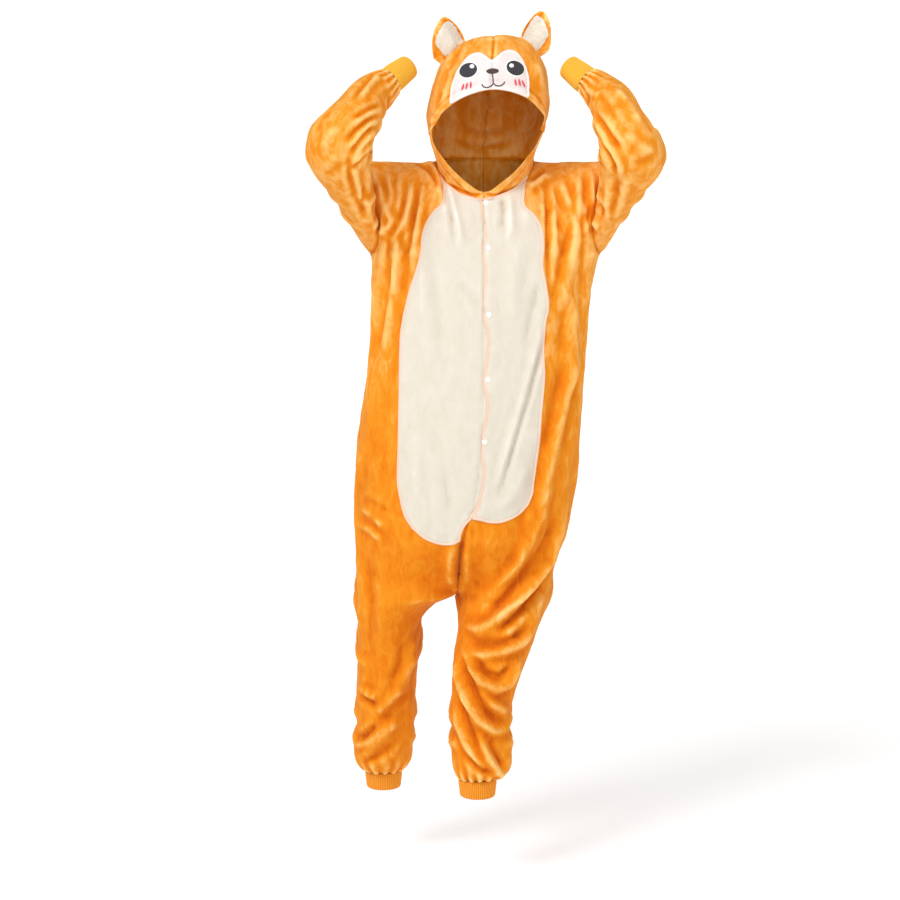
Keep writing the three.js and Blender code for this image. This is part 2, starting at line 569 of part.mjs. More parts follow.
// A closed wall from a sheet. `lift` raises its inner side off the sheet, and `trim` draws its edges in.
// `rib` raises outer points. Each quad is parted along its shorter diagonal.
function wall(sheet, thickness, { lift = () => -thickness, rib = () => 0, trim = SEAM / 2 } = {}) {
  const { points, normals, closed } = sheet;
  const tall = points.length;
  const wide = points[0].length;
  const inner = [];
  const outer = [];
  points.forEach((row, r) => row.forEach((p, c) => {
    const n = normals[r][c];
    const at = p.clone();
    const drawIn = (alongFrom, alongTo, inside) => {
      const edge = alongTo.clone().sub(alongFrom);
      const pull = edge.cross(n).normalize();
      if (pull.dot(inside.clone().sub(p)) < 0) pull.negate();
      at.addScaledVector(pull, trim);
    };
    const near = (i, j) => points[Math.min(tall - 1, Math.max(0, i))][closed ? (j + wide) % wide
      : Math.min(wide - 1, Math.max(0, j))];
    if (r === 0) drawIn(near(r, c - 1), near(r, c + 1), near(1, c));
    if (r === tall - 1) drawIn(near(r, c - 1), near(r, c + 1), near(tall - 2, c));
    if (!closed && c === 0) drawIn(near(r - 1, c), near(r + 1, c), near(r, 1));
    if (!closed && c === wide - 1) drawIn(near(r - 1, c), near(r + 1, c), near(r, wide - 2));
    const base = lift(r, c);
    inner.push(at.clone().addScaledVector(n, base));
    outer.push(at.clone().addScaledVector(n, base + thickness + rib(c)));
  }));

  const faces = [];
  const inside = (r, c) => r * wide + (c % wide);
  const outside = (r, c) => inside(r, c) + tall * wide;
  const all = [...inner, ...outer];
  const quad = (a, b, c, d, other = all[a].distanceTo(all[c]) > all[b].distanceTo(all[d])) => {
    faces.push(...(other ? [a, b, d, b, c, d] : [a, b, c, a, c, d]));
  };
  const lastCell = closed ? wide : wide - 1;
  for (let r = 0; r < tall - 1; r += 1) {
    for (let c = 0; c < lastCell; c += 1) {
      const d = (c + 1) % wide;
      const other = points[r][c].distanceTo(points[r + 1][d]) > points[r][d].distanceTo(points[r + 1][c]);
      quad(outside(r, c), outside(r, c + 1), outside(r + 1, c + 1), outside(r + 1, c), other);
      quad(inside(r, c), inside(r + 1, c), inside(r + 1, c + 1), inside(r, c + 1), other);
    }
  }
  for (let c = 0; c < lastCell; c += 1) {
    quad(inside(0, c), inside(0, c + 1), outside(0, c + 1), outside(0, c));
    quad(inside(tall - 1, c + 1), inside(tall - 1, c), outside(tall - 1, c), outside(tall - 1, c + 1));
  }
  for (let r = 0; !closed && r < tall - 1; r += 1) {
    quad(inside(r + 1, 0), inside(r, 0), outside(r, 0), outside(r + 1, 0));
    quad(inside(r, wide - 1), inside(r + 1, wide - 1), outside(r + 1, wide - 1), outside(r, wide - 1));
  }
  return closedGeometry(all, faces);
}

// Turns the faces outwards, whichever way round the sheet was.
function closedGeometry(vertices, faces) {
  let volume = 0;
  for (let i = 0; i < faces.length; i += 3) {
    const [a, b, c] = faces.slice(i, i + 3).map((index) => vertices[index].clone());
    volume += a.dot(b.cross(c));
  }
  const turned = [];
  for (let i = 0; i < faces.length; i += 3) {
    const [a, b, c] = faces.slice(i, i + 3);
    turned.push(...(volume >= 0 ? [a, b, c] : [a, c, b]));
  }
  const geometry = new THREE.BufferGeometry().setFromPoints(vertices);
  geometry.setIndex(turned);
  geometry.computeVertexNormals();
  return geometry;
}

const onesie = new THREE.Group();

function addPiece(name, geometry, finish) {
  const material = new THREE.MeshStandardMaterial({ ...COLOURS[finish], metalness: 0 });
  const mesh = new THREE.Mesh(geometry, material);
  mesh.name = name;
  onesie.add(mesh);
  return mesh;
}

// ---- Panels, sleeves and hood, sewn to each other ----
const panels = {};
for (const side of SIDES) {
  for (const face of FACES) panels[`${face}_${side}`] = panelSheet(side, face);
}
sewTogether(Object.values(panels));
fold(Object.values(panels));
const sleeves = {};
const hoods = {};
for (const side of SIDES) {
  sleeves[side] = sleeveSheet(side, panels);
  hoods[side] = hoodSheet(side);
}
sewTogether([...Object.values(panels), ...Object.values(sleeves), ...Object.values(hoods)]);

for (const side of SIDES) {
  for (const face of FACES) {
    const name = `${face}_${side}`;
    addPiece(name, wall(panels[name], CLOTH), 'plush');
  }
  addPiece(`sleeve_${side}`, wall(sleeves[side], CLOTH), 'plush');
  addPiece(`hood_${side}`, wall(hoods[side], CLOTH), 'plush');
}

// ---- Cuffs ----
function addCuff(name, start, axis, size, finish) {
  const sheet = cuffSheet(start, axis, size);
  sewTogether([sheet]);
  addPiece(name, wall(sheet, CLOTH, { rib: (c) => (c % 2 === 0 ? RIB_HEIGHT : 0), trim: 0 }), finish);
}

for (const side of SIDES) {
  addCuff(`wrist_cuff_${side}`, sleeves[side].end, sleeves[side].axis, WRIST_CUFF, 'ribbing');
  const hem = LEGS[side][0];
  const ankle = point((hem.outer + hem.inner) / 2, hem.middle, hem.z);
  addCuff(`ankle_cuff_${side}`, ankle, point(0, 0, -1), ANKLE_CUFF, 'plush');
}

// ---- Belly: each half lies on its front, and the left one laps over the right at the placket ----
const FIRST_TRUNK_ROW = LEG_STEPS.length + RISE_ROWS - 1;
const LAP_LIFT = SEAM + APPLIQUE + LAP_RISE;

function bellySheet(side) {
  const panel = panels[`front_${side}`];
  const other = panels.front_right;
  const firstRow = FIRST_TRUNK_ROW + TRUNK_LEVELS.indexOf(BELLY_END_Z[side]);
  const cut = (grid, otherGrid) => grid.slice(firstRow).map((row, r) => {
    const line = row.slice(EDGE_COLUMN);
    if (side === 'left') {
      const [next, centre] = otherGrid[firstRow + r].slice(FRONT_COLUMNS - 1);
      line.push(centre.clone().lerp(next, LAP_SHARE));
    }
    return line;
  });
  return { points: cut(panel.points, other.points), normals: cut(panel.normals, other.normals) };
}

const onLap = FRONT_COLUMNS - EDGE_COLUMN;
addPiece('belly_right', wall(bellySheet('right'), APPLIQUE, { lift: () => SEAM }), 'cream');
addPiece('belly_left', wall(bellySheet('left'), APPLIQUE, {
  lift: (r, c) => (c >= onLap ? LAP_LIFT : SEAM),
}), 'cream');

// ---- Snaps, on the lap ----
SNAP.levels.forEach((z, i) => {
  const { points, normals } = panels.front_left;
  const r = points.findIndex((row, k) => k >= FIRST_TRUNK_ROW && row[FRONT_COLUMNS].z > z) - 1;
  const [low, high] = [points[r][FRONT_COLUMNS], points[r + 1][FRONT_COLUMNS]];
  const share = (z - low.z) / (high.z - low.z);
  const n = normals[r][FRONT_COLUMNS].clone().lerp(normals[r + 1][FRONT_COLUMNS], share).normalize();
  const cap = new THREE.CylinderGeometry(SNAP.radius, SNAP.radius, SNAP.thick, SNAP.sides);
  const mesh = addPiece(`snap_${i + 1}`, cap, 'snap');
  const lift = LAP_LIFT + APPLIQUE + 2 * SEAM + SNAP.thick / 2;
  mesh.position.copy(low).lerp(high, share).addScaledVector(n, lift);
  mesh.quaternion.setFromUnitVectors(point(0, 1, 0), n);
});

// ---- Face, on both halves of the hood ----
const faceRows = [];
for (let k = 0; k <= FACE_ARCH; k += 1) {
  const across = (grid, side) => grid[side].map((row) => row[k]).slice(FACE_ROW);
  const both = (name) => {
    const grid = { right: hoods.right[name], left: hoods.left[name] };
    return [...across(grid, 'right'), ...across(grid, 'left').reverse().slice(1)];
  };
  faceRows.push({ points: both('points'), normals: both('normals') });
}
const face = { points: faceRows.map((row) => row.points), normals: faceRows.map((row) => row.normals) };
addPiece('face', wall(face, APPLIQUE, { lift: () => SEAM }), 'cream');

// A point of the hood's front at width w (to the left) and upright height z.
function onHood(w, z) {
  const side = w < 0 ? 'right' : 'left';
  const arch = archAtHeight(side, Math.abs(w), z);
  return hoodPoint(side, arch, shareAtWidth(side, arch, Math.abs(w)));
}

// An oval patch: a square net drawn out to a disc.
function ovalSheet(size, w) {
  const cells = [-1, -0.5, 0, 0.5, 1];
  const points = cells.map((b) => cells.map((a) => {
    const across = size.wide * a * Math.sqrt(1 - b * b / 2);
    const up = size.tall * b * Math.sqrt(1 - a * a / 2);
    const tilt = -Math.sign(w) * size.tilt;
    return onHood(
      w + across * Math.cos(tilt) - up * Math.sin(tilt),
      size.z + across * Math.sin(tilt) + up * Math.cos(tilt),
    );
  }));
  const sheet = { points, facing: point(0, -1, 0.5) };
  sewTogether([sheet]);
  return sheet;
}

const onFace = { lift: () => 2 * SEAM + APPLIQUE + SEAM };
addPiece('eye_right', wall(ovalSheet(EYE, -EYE.w), APPLIQUE, onFace), 'black');
addPiece('eye_left', wall(ovalSheet(EYE, EYE.w), APPLIQUE, onFace), 'black');
addPiece('nose', wall(ovalSheet(NOSE, NOSE.w), APPLIQUE, onFace), 'brown');

// ---- Ears: cupped flaps that stand on the hood's side, with a cream inner side ----
function earSheet(side) {
  const { points, normals } = hoods[side];
  const between = (grid, row) => {
    const i = Math.floor(row);
    return grid[i][EAR_ROOT.arch].clone().lerp(grid[i + 1][EAR_ROOT.arch], row - i);
  };
  const roots = [];
  for (let k = 0; k <= EAR_COLUMNS; k += 1) {
    const row = mix(EAR_ROOT.from, EAR_ROOT.to, k / EAR_COLUMNS);
    roots.push(between(points, row).addScaledVector(between(normals, row), 2 * SEAM));
  }
  const middle = roots[EAR_COLUMNS / 2];
  const out = between(normals, mix(EAR_ROOT.from, EAR_ROOT.to, 0.5)).add(point(0, 0, EAR.rise));
  out.setY(0).normalize();
  const rows = [];
  for (let r = 0; r <= EAR_ROWS; r += 1) {
    const share = r / EAR_ROWS;
    rows.push(roots.map((root, k) => {
      const a = 2 * k / EAR_COLUMNS - 1;
      const reach = EAR.reach * share * (EAR.straight + (1 - EAR.straight) * Math.sqrt(1 - a * a));
      return root.clone().sub(middle).multiplyScalar(mix(1, EAR.flare, Math.sin(share * Math.PI / 2)))
        .add(middle).addScaledVector(out, reach).add(point(0, -EAR.cup * a * a * share, 0));
    }));
  }
  return { points: rows, facing: point(0, -1, 0) };
}

for (const side of SIDES) {
  const ear = earSheet(side);
  sewTogether([ear]);
  addPiece(`ear_${side}`, wall(ear, EAR_CLOTH), 'plush');
  const inset = (grid) => grid.slice(0, EAR_ROWS).map((row) => row.slice(1, EAR_COLUMNS));
  const lining = { points: inset(ear.points), normals: inset(ear.normals) };
  addPiece(`ear_inner_${side}`, wall(lining, APPLIQUE, { lift: () => 2 * SEAM }), 'cream');
}

export default onesie;
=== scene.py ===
import math

import bmesh
import bpy
import numpy as np
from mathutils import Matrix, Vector, noise
from mathutils.bvhtree import BVHTree
from mathutils.kdtree import KDTree


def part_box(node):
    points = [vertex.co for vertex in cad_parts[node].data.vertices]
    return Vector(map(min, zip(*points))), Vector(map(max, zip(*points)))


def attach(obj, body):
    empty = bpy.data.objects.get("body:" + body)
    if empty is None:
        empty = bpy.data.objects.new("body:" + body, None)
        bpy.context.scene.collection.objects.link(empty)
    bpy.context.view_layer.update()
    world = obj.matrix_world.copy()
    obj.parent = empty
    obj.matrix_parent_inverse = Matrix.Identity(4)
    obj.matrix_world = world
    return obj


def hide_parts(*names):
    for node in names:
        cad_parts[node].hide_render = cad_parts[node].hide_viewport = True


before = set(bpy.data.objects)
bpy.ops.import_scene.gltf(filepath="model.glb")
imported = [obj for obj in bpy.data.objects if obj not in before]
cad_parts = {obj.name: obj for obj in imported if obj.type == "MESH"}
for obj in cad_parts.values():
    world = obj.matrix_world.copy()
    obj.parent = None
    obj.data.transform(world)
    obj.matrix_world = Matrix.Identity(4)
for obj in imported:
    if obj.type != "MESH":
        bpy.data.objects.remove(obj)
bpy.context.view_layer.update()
scene = bpy.context.scene
bpy.ops.object.select_all(action="DESELECT")

# ---- Camera, backdrop and light ----
# A long lens from the front, level with the wearer's shoulders and tipped down a little, in a room of white
# paper: the floor, where the wearer's soles would be, curves up into a wall on each side. One broad sun from
# the upper left draws the folds, and two soft boxes in front lighten their shadows.
CAMERA = {"place": (-0.0706, -4.0, -0.025), "tilt": 82, "lens": 78.44}
FLOOR_Z = -1.475
SWEEP = {"size": 26, "wall": 9, "turn": 3, "steps": 20}
PAPER = {"colour": (0.72, 0.72, 0.72, 1), "glow": 0.42}
SKY = {"colour": (1, 0.995, 0.99, 1), "strength": 0.4}
KEY = {"from": (-1.0, -1.1, 1.6), "strength": 1.3, "spread": 18}
SOFT_BOXES = [{"place": (-0.5, -2.0, 1.4), "size": 1.0, "power": 15},
              {"place": (0.5, -3.2, 0.3), "size": 1.6, "power": 16}]
LIT_SPOT = (0, 0, -0.1)
bpy.ops.object.camera_add(location=CAMERA["place"], rotation=(math.radians(CAMERA["tilt"]), 0, 0))
camera = bpy.context.object
camera.data.lens = CAMERA["lens"]
scene.camera = camera


def only(*objects):
    """Selects these objects alone and makes the first one active."""
    bpy.ops.object.select_all(action="DESELECT")
    for o in objects:
        o.select_set(True)
    bpy.context.view_layer.objects.active = objects[0]


def pick_points(piece, wanted):
    """Opens a piece in edit mode with the points selected whose place passes a test."""
    only(piece)
    bpy.ops.object.mode_set(mode="EDIT")
    bpy.ops.mesh.select_mode(type="VERT")
    bpy.ops.mesh.select_all(action="DESELECT")
    bpy.ops.object.mode_set(mode="OBJECT")
    for spot in piece.data.vertices:
        spot.select = wanted(spot.co)
    bpy.ops.object.mode_set(mode="EDIT")


def new_finish(name, settings):
    """A node material with these values on its shader's own sockets."""
    made = bpy.data.materials.new(name)
    made.use_nodes = True
    for socket, value in settings.items():
        made.node_tree.nodes["Principled BSDF"].inputs[socket].default_value = value
    return made


bpy.ops.mesh.primitive_plane_add(size=SWEEP["size"], location=(0, 0, FLOOR_Z))
backdrop = bpy.context.object
backdrop.name = "backdrop"
pick_points(backdrop, lambda at: True)
bpy.ops.mesh.extrude_edges_move(TRANSFORM_OT_translate={"value": (0, 0, SWEEP["wall"])})
bpy.ops.object.mode_set(mode="OBJECT")
pick_points(backdrop, lambda at: at.z < SWEEP["wall"] / 2)
bpy.ops.mesh.bevel(offset=SWEEP["turn"], segments=SWEEP["steps"], affect="EDGES")
bpy.ops.object.mode_set(mode="OBJECT")
bpy.ops.object.shade_smooth()
backdrop.data.materials.append(new_finish("white_paper", {
    "Base Color": PAPER["colour"], "Roughness": 0.95, "Emission Color": (1, 1, 1, 1),
    "Emission Strength": PAPER["glow"], "Specular IOR Level": 0.1}))

sky = bpy.data.worlds.new("studio")
sky.use_nodes = True
sky.node_tree.nodes["Background"].inputs["Color"].default_value = SKY["colour"]
sky.node_tree.nodes["Background"].inputs["Strength"].default_value = SKY["strength"]
scene.world = sky
scene.view_settings.view_transform = "Standard"
bpy.ops.object.light_add(type="SUN", location=KEY["from"])
key = bpy.context.object
key.data.energy = KEY["strength"]
key.data.angle = math.radians(KEY["spread"])
key.rotation_euler = (-Vector(KEY["from"])).to_track_quat("-Z", "Y").to_euler()
for lamp in SOFT_BOXES:
    bpy.ops.object.light_add(type="AREA", location=lamp["place"])
    soft_box = bpy.context.object
    soft_box.data.size = lamp["size"]
    soft_box.data.energy = lamp["power"]
    soft_box.rotation_euler = (Vector(LIT_SPOT) - Vector(lamp["place"])).to_track_quat("-Z", "Y").to_euler()

# ---- Fronts, backs, sleeves and hood ----
# Plush flannel, cut in eight pieces and sewn to each other. The outer sides of the solids are joined at their
# seams, rounded and creased as one skin, and then parted again, so that folds run across the seams.
CLOTH = 0.0016
SEWN = ["front_right", "front_left", "back_right", "back_left", "sleeve_right", "sleeve_left",
        "hood_right", "hood_left"]
SEAM_GAP = 0.0026
SAME_POINT = 0.00001


def free_copy(node):
    """A copy of a node's solid that rides on nothing yet, named for the cloth that takes its place."""
    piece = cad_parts[node].copy()
    piece.data = piece.data.copy()
    piece.name = piece.data.name = node + "_cloth"
    for key_name in list(piece.keys()):
        del piece[key_name]
    piece.parent = None
    scene.collection.objects.link(piece)
    return piece


def outer_side(node, thickness):
    """The outward side of a node's wall, in quads, with a material of its own name."""
    piece = free_copy(node)
    net = bmesh.new()
    net.from_mesh(piece.data)
    bmesh.ops.remove_doubles(net, verts=net.verts, dist=SAME_POINT)
    rim = [f for f in net.faces if min(e.calc_length() for e in f.edges) < thickness * 1.06]
    bmesh.ops.delete(net, geom=rim, context="FACES")
    sides = []
    left = set(net.faces)
    while left:
        side = []
        reach = [left.pop()]
        while reach:
            f = reach.pop()
            side.append(f)
            near = {n for e in f.edges for n in e.link_faces if n in left}
            left -= near
            reach.extend(near)
        sides.append(side)
    outer = max(sides, key=lambda side: sum(f.calc_area() for f in side))
    bmesh.ops.delete(net, geom=[f for side in sides if side is not outer for f in side], context="FACES")
    bmesh.ops.join_triangles(net, faces=net.faces, angle_face_threshold=math.radians(75),
                             angle_shape_threshold=math.radians(90))
    net.to_mesh(piece.data)
    net.free()
    piece.data.materials.clear()
    piece.data.materials.append(bpy.data.materials.new(piece.name))
    return piece


def round_off(piece):
    """Rounds a net of flat faces into soft cloth."""
    only(piece)
    rounding = piece.modifiers.new("round", "SUBSURF")
    rounding.levels = rounding.render_levels = 3
    bpy.ops.object.modifier_apply(modifier="round")


only(*[outer_side(node, CLOTH) for node in SEWN])
bpy.ops.object.join()
skin = bpy.context.object
bpy.ops.object.mode_set(mode="EDIT")
bpy.ops.mesh.select_mode(type="VERT")
bpy.ops.mesh.select_all(action="DESELECT")
bpy.ops.mesh.select_non_manifold(extend=False)
bpy.ops.mesh.remove_doubles(threshold=SEAM_GAP)
bpy.ops.object.mode_set(mode="OBJECT")
round_off(skin)

# The folds that the tension and the weight of a worn garment leave: a line in metres, seen from one side,
# then the fold's height (a valley is below 0) and half width in millimetres. First x and z, from the front.
FRONT_FOLDS = [
    # chest and waist, right side of the wearer
    (((-0.225, -0.018), (-0.227, -0.049), (-0.218, -0.080)), 5, 5),
    (((-0.223, -0.045), (-0.221, -0.080), (-0.213, -0.115), (-0.211, -0.146)), -4, 5),
    (((-0.219, -0.018), (-0.207, -0.062), (-0.197, -0.097), (-0.188, -0.116)), 5, 6),
    (((-0.212, -0.027), (-0.199, -0.058), (-0.197, -0.084)), -4, 6),
    (((-0.184, -0.018), (-0.184, -0.062), (-0.179, -0.102)), -3, 6),
    (((-0.193, -0.018), (-0.192, -0.058), (-0.187, -0.088)), 3, 6),
    (((-0.157, -0.032), (-0.161, -0.071), (-0.170, -0.106), (-0.192, -0.137)), -4, 6),
    (((-0.148, -0.045), (-0.152, -0.080), (-0.161, -0.119), (-0.183, -0.150)), 4, 6),
    (((-0.135, -0.038), (-0.139, -0.080), (-0.148, -0.123), (-0.155, -0.171)), -5, 5),
    (((-0.128, -0.084), (-0.134, -0.123), (-0.140, -0.153)), 4, 5),
    (((-0.215, -0.146), (-0.192, -0.129), (-0.170, -0.111)), 4, 7),
    (((-0.192, -0.145), (-0.197, -0.185), (-0.199, -0.229)), -3, 6),
    (((-0.174, -0.150), (-0.179, -0.211), (-0.175, -0.259)), 4, 7),
    (((-0.157, -0.158), (-0.159, -0.202), (-0.165, -0.263)), -4, 7),
    (((-0.144, 0.003), (-0.121, -0.006), (-0.104, -0.024), (-0.096, -0.045)), -5, 5),
    (((-0.131, 0.004), (-0.109, -0.002), (-0.094, -0.027)), 4, 5),
    (((-0.188, -0.197), (-0.202, -0.273), (-0.219, -0.374)), -7, 9),
    (((-0.174, -0.189), (-0.188, -0.282), (-0.204, -0.376)), 6, 11),
    (((-0.162, -0.271), (-0.176, -0.351), (-0.186, -0.455)), -4, 10),
    (((-0.211, -0.383), (-0.228, -0.475), (-0.236, -0.556)), 5, 14),
    # chest and waist, left side
    (((0.122, -0.045), (0.125, -0.106), (0.122, -0.175), (0.125, -0.236), (0.132, -0.270)), -5, 5),
    (((0.134, -0.045), (0.135, -0.106), (0.136, -0.184)), 4, 6),
    (((0.137, -0.049), (0.148, -0.075), (0.161, -0.102)), -4, 5),
    (((0.160, -0.027), (0.175, -0.058), (0.179, -0.080)), -4, 5),
    (((0.183, -0.045), (0.174, -0.084)), 3, 6),
    (((0.149, -0.045), (0.159, -0.062), (0.169, -0.088)), 4, 6),
    (((0.198, -0.023), (0.198, -0.062), (0.202, -0.088)), -4, 5),
    (((0.191, -0.027), (0.186, -0.071), (0.187, -0.102)), 4, 6),
    (((0.211, -0.018), (0.217, -0.062), (0.217, -0.097), (0.216, -0.124)), 5, 5),
    (((0.211, -0.080), (0.208, -0.115), (0.212, -0.146)), -5, 5),
    (((0.201, -0.097), (0.193, -0.123), (0.197, -0.154)), -4, 8),
    (((0.171, -0.106), (0.181, -0.125), (0.179, -0.150)), 4, 9),
    (((0.091, -0.038), (0.118, -0.015)), -4, 5),
    (((0.086, -0.051), (0.113, -0.032), (0.127, -0.025)), 4, 6),
    (((0.166, -0.134), (0.151, -0.197), (0.133, -0.277)), -5, 7),
    (((0.181, -0.138), (0.170, -0.209), (0.154, -0.284)), 4, 10),
    (((0.196, -0.154), (0.195, -0.234), (0.194, -0.310)), -4, 9),
    (((0.160, -0.290), (0.156, -0.335), (0.154, -0.377)), -5, 10),
    (((0.176, -0.273), (0.175, -0.352), (0.172, -0.441)), 6, 13),
    # hips
    (((0.180, -0.393), (0.157, -0.480), (0.137, -0.565), (0.127, -0.614), (0.116, -0.663), (0.098, -0.700)),
     10, 11),
    (((0.161, -0.404), (0.137, -0.491), (0.119, -0.564)), -7, 10),
    (((0.196, -0.420), (0.174, -0.497), (0.154, -0.572)), -5, 12),
    (((-0.254, -0.697), (-0.224, -0.707), (-0.203, -0.729)), 4, 7),
    (((-0.259, -0.732), (-0.233, -0.738), (-0.212, -0.755)), 4, 7),
    (((-0.249, -0.675), (-0.220, -0.682), (-0.195, -0.695)), -3, 6),
    (((-0.259, -0.783), (-0.251, -0.868), (-0.257, -0.982)), 5, 12),
    (((-0.241, -0.794), (-0.234, -0.884), (-0.239, -0.995)), -4, 12),
    (((0.094, -0.695), (0.086, -0.740), (0.062, -0.794)), 5, 10),
    # placket and crotch
    (((-0.047, -0.748), (-0.052, -0.791), (-0.052, -0.850)), -9, 8),
    (((-0.067, -0.761), (-0.073, -0.801), (-0.071, -0.850)), 6, 10),
    (((-0.031, -0.753), (-0.022, -0.796), (-0.018, -0.867)), -5, 16),
    # left leg
    (((0.125, -0.656), (0.115, -0.702), (0.095, -0.753), (0.066, -0.800), (0.035, -0.842)), 7, 9),
    (((0.171, -0.674), (0.155, -0.734), (0.132, -0.802), (0.097, -0.849), (0.056, -0.891),
      (0.010, -0.925), (-0.020, -0.937), (-0.043, -0.937)), 11, 10),
    (((0.150, -0.706), (0.121, -0.772), (0.081, -0.822), (0.035, -0.871), (-0.010, -0.908)), -7, 10),
    (((0.142, -0.818), (0.113, -0.863), (0.071, -0.897), (0.025, -0.932)), -8, 9),
    (((0.113, -0.863), (0.105, -0.903), (0.094, -0.941)), 5, 9),
    (((0.097, -0.941), (0.076, -0.964), (0.040, -0.975), (0.005, -0.982), (-0.035, -0.984)), 9, 8),
    (((0.081, -0.937), (0.045, -0.952), (0.010, -0.957), (-0.015, -0.954)), -7, 8),
    (((-0.040, -0.942), (-0.020, -0.955), (-0.003, -0.972)), -5, 7),
    (((-0.040, -0.983), (-0.028, -1.008), (-0.008, -1.032), (0.022, -1.050), (0.046, -1.044),
      (0.061, -1.019), (0.066, -0.990)), 10, 8),
    (((-0.023, -0.993), (0.002, -1.017), (0.030, -1.023), (0.050, -1.006)), -8, 8),
    (((0.007, -1.077), (0.030, -1.091), (0.042, -1.099)), 6, 7),
    (((-0.045, -0.994), (-0.035, -1.029), (-0.015, -1.067), (0.010, -1.103), (0.033, -1.123)), -9, 8),
    (((-0.054, -0.993), (-0.051, -1.033), (-0.038, -1.075), (-0.013, -1.114), (0.015, -1.137),
      (0.037, -1.141)), 11, 8),
    (((-0.053, -1.074), (-0.043, -1.116), (-0.020, -1.154), (-0.003, -1.183)), -8, 8),
    (((-0.058, -1.086), (-0.053, -1.124), (-0.040, -1.157), (-0.023, -1.187), (-0.005, -1.210)), 8, 8),
    (((-0.015, -1.154), (0.002, -1.183), (0.023, -1.215), (0.033, -1.239)), 9, 8),
    (((0.010, -1.154), (0.025, -1.186), (0.041, -1.217)), -6, 9),
    (((-0.035, -1.186), (-0.015, -1.211), (0.003, -1.228)), -5, 7),
    (((0.041, -1.105), (0.049, -1.151), (0.051, -1.196), (0.043, -1.236)), 5, 8),
    # right leg
    (((-0.145, -0.976), (-0.153, -1.027), (-0.174, -1.077)), 7, 10),
    (((-0.174, -1.077), (-0.199, -1.106), (-0.224, -1.130)), 7, 9),
    (((-0.163, -0.971), (-0.169, -1.019), (-0.190, -1.066)), -5, 10),
    (((-0.263, -1.084), (-0.245, -1.093), (-0.220, -1.097)), 6, 8),
    (((-0.258, -1.098), (-0.241, -1.110), (-0.228, -1.117)), -6, 7),
    (((-0.269, -1.205), (-0.246, -1.187), (-0.225, -1.161)), -8, 7),
    (((-0.277, -1.218), (-0.242, -1.200), (-0.208, -1.164), (-0.175, -1.154)), 7, 9),
    (((-0.256, -1.235), (-0.221, -1.197), (-0.191, -1.165)), 6, 8),
    (((-0.247, -1.248), (-0.208, -1.220), (-0.175, -1.186)), -4, 8),
    (((-0.154, -1.111), (-0.152, -1.180), (-0.159, -1.229)), 5, 9),
    (((-0.253, -0.978), (-0.255, -1.040), (-0.249, -1.086)), 4, 9),
    # right sleeve
    (((-0.219, 0.169), (-0.235, 0.149), (-0.254, 0.119)), -4, 6),
    (((-0.208, 0.166), (-0.222, 0.146), (-0.242, 0.119)), 4, 6),
    (((-0.300, 0.093), (-0.316, 0.077), (-0.323, 0.055)), -3, 6),
    (((-0.204, 0.107), (-0.229, 0.094), (-0.249, 0.080)), -4, 5),
    (((-0.208, 0.097), (-0.228, 0.085), (-0.253, 0.068)), 3, 6),
    (((-0.208, 0.088), (-0.228, 0.076), (-0.244, 0.061), (-0.266, 0.036)), -5, 6),
    (((-0.210, 0.079), (-0.228, 0.064), (-0.244, 0.045), (-0.259, 0.027)), 4, 5),
    (((-0.215, 0.069), (-0.232, 0.052), (-0.245, 0.035), (-0.256, 0.014)), -5, 5),
    (((-0.222, 0.052), (-0.233, 0.037), (-0.244, 0.024), (-0.254, 0.006)), 4, 5),
    (((-0.219, 0.035), (-0.233, 0.015), (-0.252, -0.002)), 4, 5),
    (((-0.226, 0.015), (-0.245, -0.005), (-0.256, -0.019)), -5, 5),
    (((-0.261, 0.010), (-0.260, -0.027), (-0.253, -0.066), (-0.243, -0.105)), -4, 6),
    (((-0.256, -0.010), (-0.250, -0.044), (-0.243, -0.079)), 4, 6),
    (((-0.271, -0.006), (-0.292, -0.019), (-0.306, -0.027)), -3, 8),
    (((-0.278, 0.064), (-0.299, 0.048), (-0.312, 0.023)), 3, 9),
    (((-0.232, -0.044), (-0.242, -0.079), (-0.239, -0.105)), -5, 6),
    # left sleeve
    (((0.204, 0.091), (0.218, 0.069), (0.234, 0.043), (0.251, 0.022)), -6, 5),
    (((0.203, 0.082), (0.211, 0.061), (0.227, 0.043), (0.243, 0.021)), 5, 5),
    (((0.214, 0.036), (0.230, 0.011), (0.241, -0.010), (0.246, -0.028)), -6, 5),
    (((0.219, 0.043), (0.238, 0.018), (0.252, -0.006), (0.255, -0.027)), 5, 6),
    (((0.213, 0.129), (0.227, 0.108), (0.242, 0.080)), -3, 7),
    (((0.246, 0.137), (0.269, 0.106), (0.286, 0.068)), 4, 8),
    (((0.287, 0.112), (0.300, 0.081), (0.316, 0.051)), -3, 6),
    (((0.258, 0.052), (0.283, 0.031), (0.315, 0.015)), 3, 9),
    (((0.281, -0.006), (0.298, -0.002), (0.320, 0.010)), -3, 8),
    (((0.246, -0.031), (0.254, -0.061), (0.249, -0.096)), -4, 8),
    (((0.236, -0.044), (0.238, -0.079), (0.237, -0.114)), 4, 6),
    (((0.222, -0.044), (0.225, -0.079), (0.234, -0.114)), -4, 5),
    (((0.264, -0.044), (0.260, -0.079), (0.252, -0.114)), 4, 9),
    (((0.194, 0.139), (0.205, 0.130), (0.217, 0.124)), 3, 6),
    # hood
    (((-0.047, 0.228), (-0.078, 0.173), (-0.096, 0.111)), -5, 6),
    (((-0.031, 0.236), (-0.000, 0.239), (0.039, 0.241)), 3, 8),
    (((-0.067, 0.213), (-0.082, 0.165), (-0.090, 0.123)), 4, 8),
    (((0.095, 0.196), (0.111, 0.150), (0.126, 0.106)), 4, 9),
    (((-0.075, 0.085), (-0.079, 0.045), (-0.058, -0.004)), 4, 8),
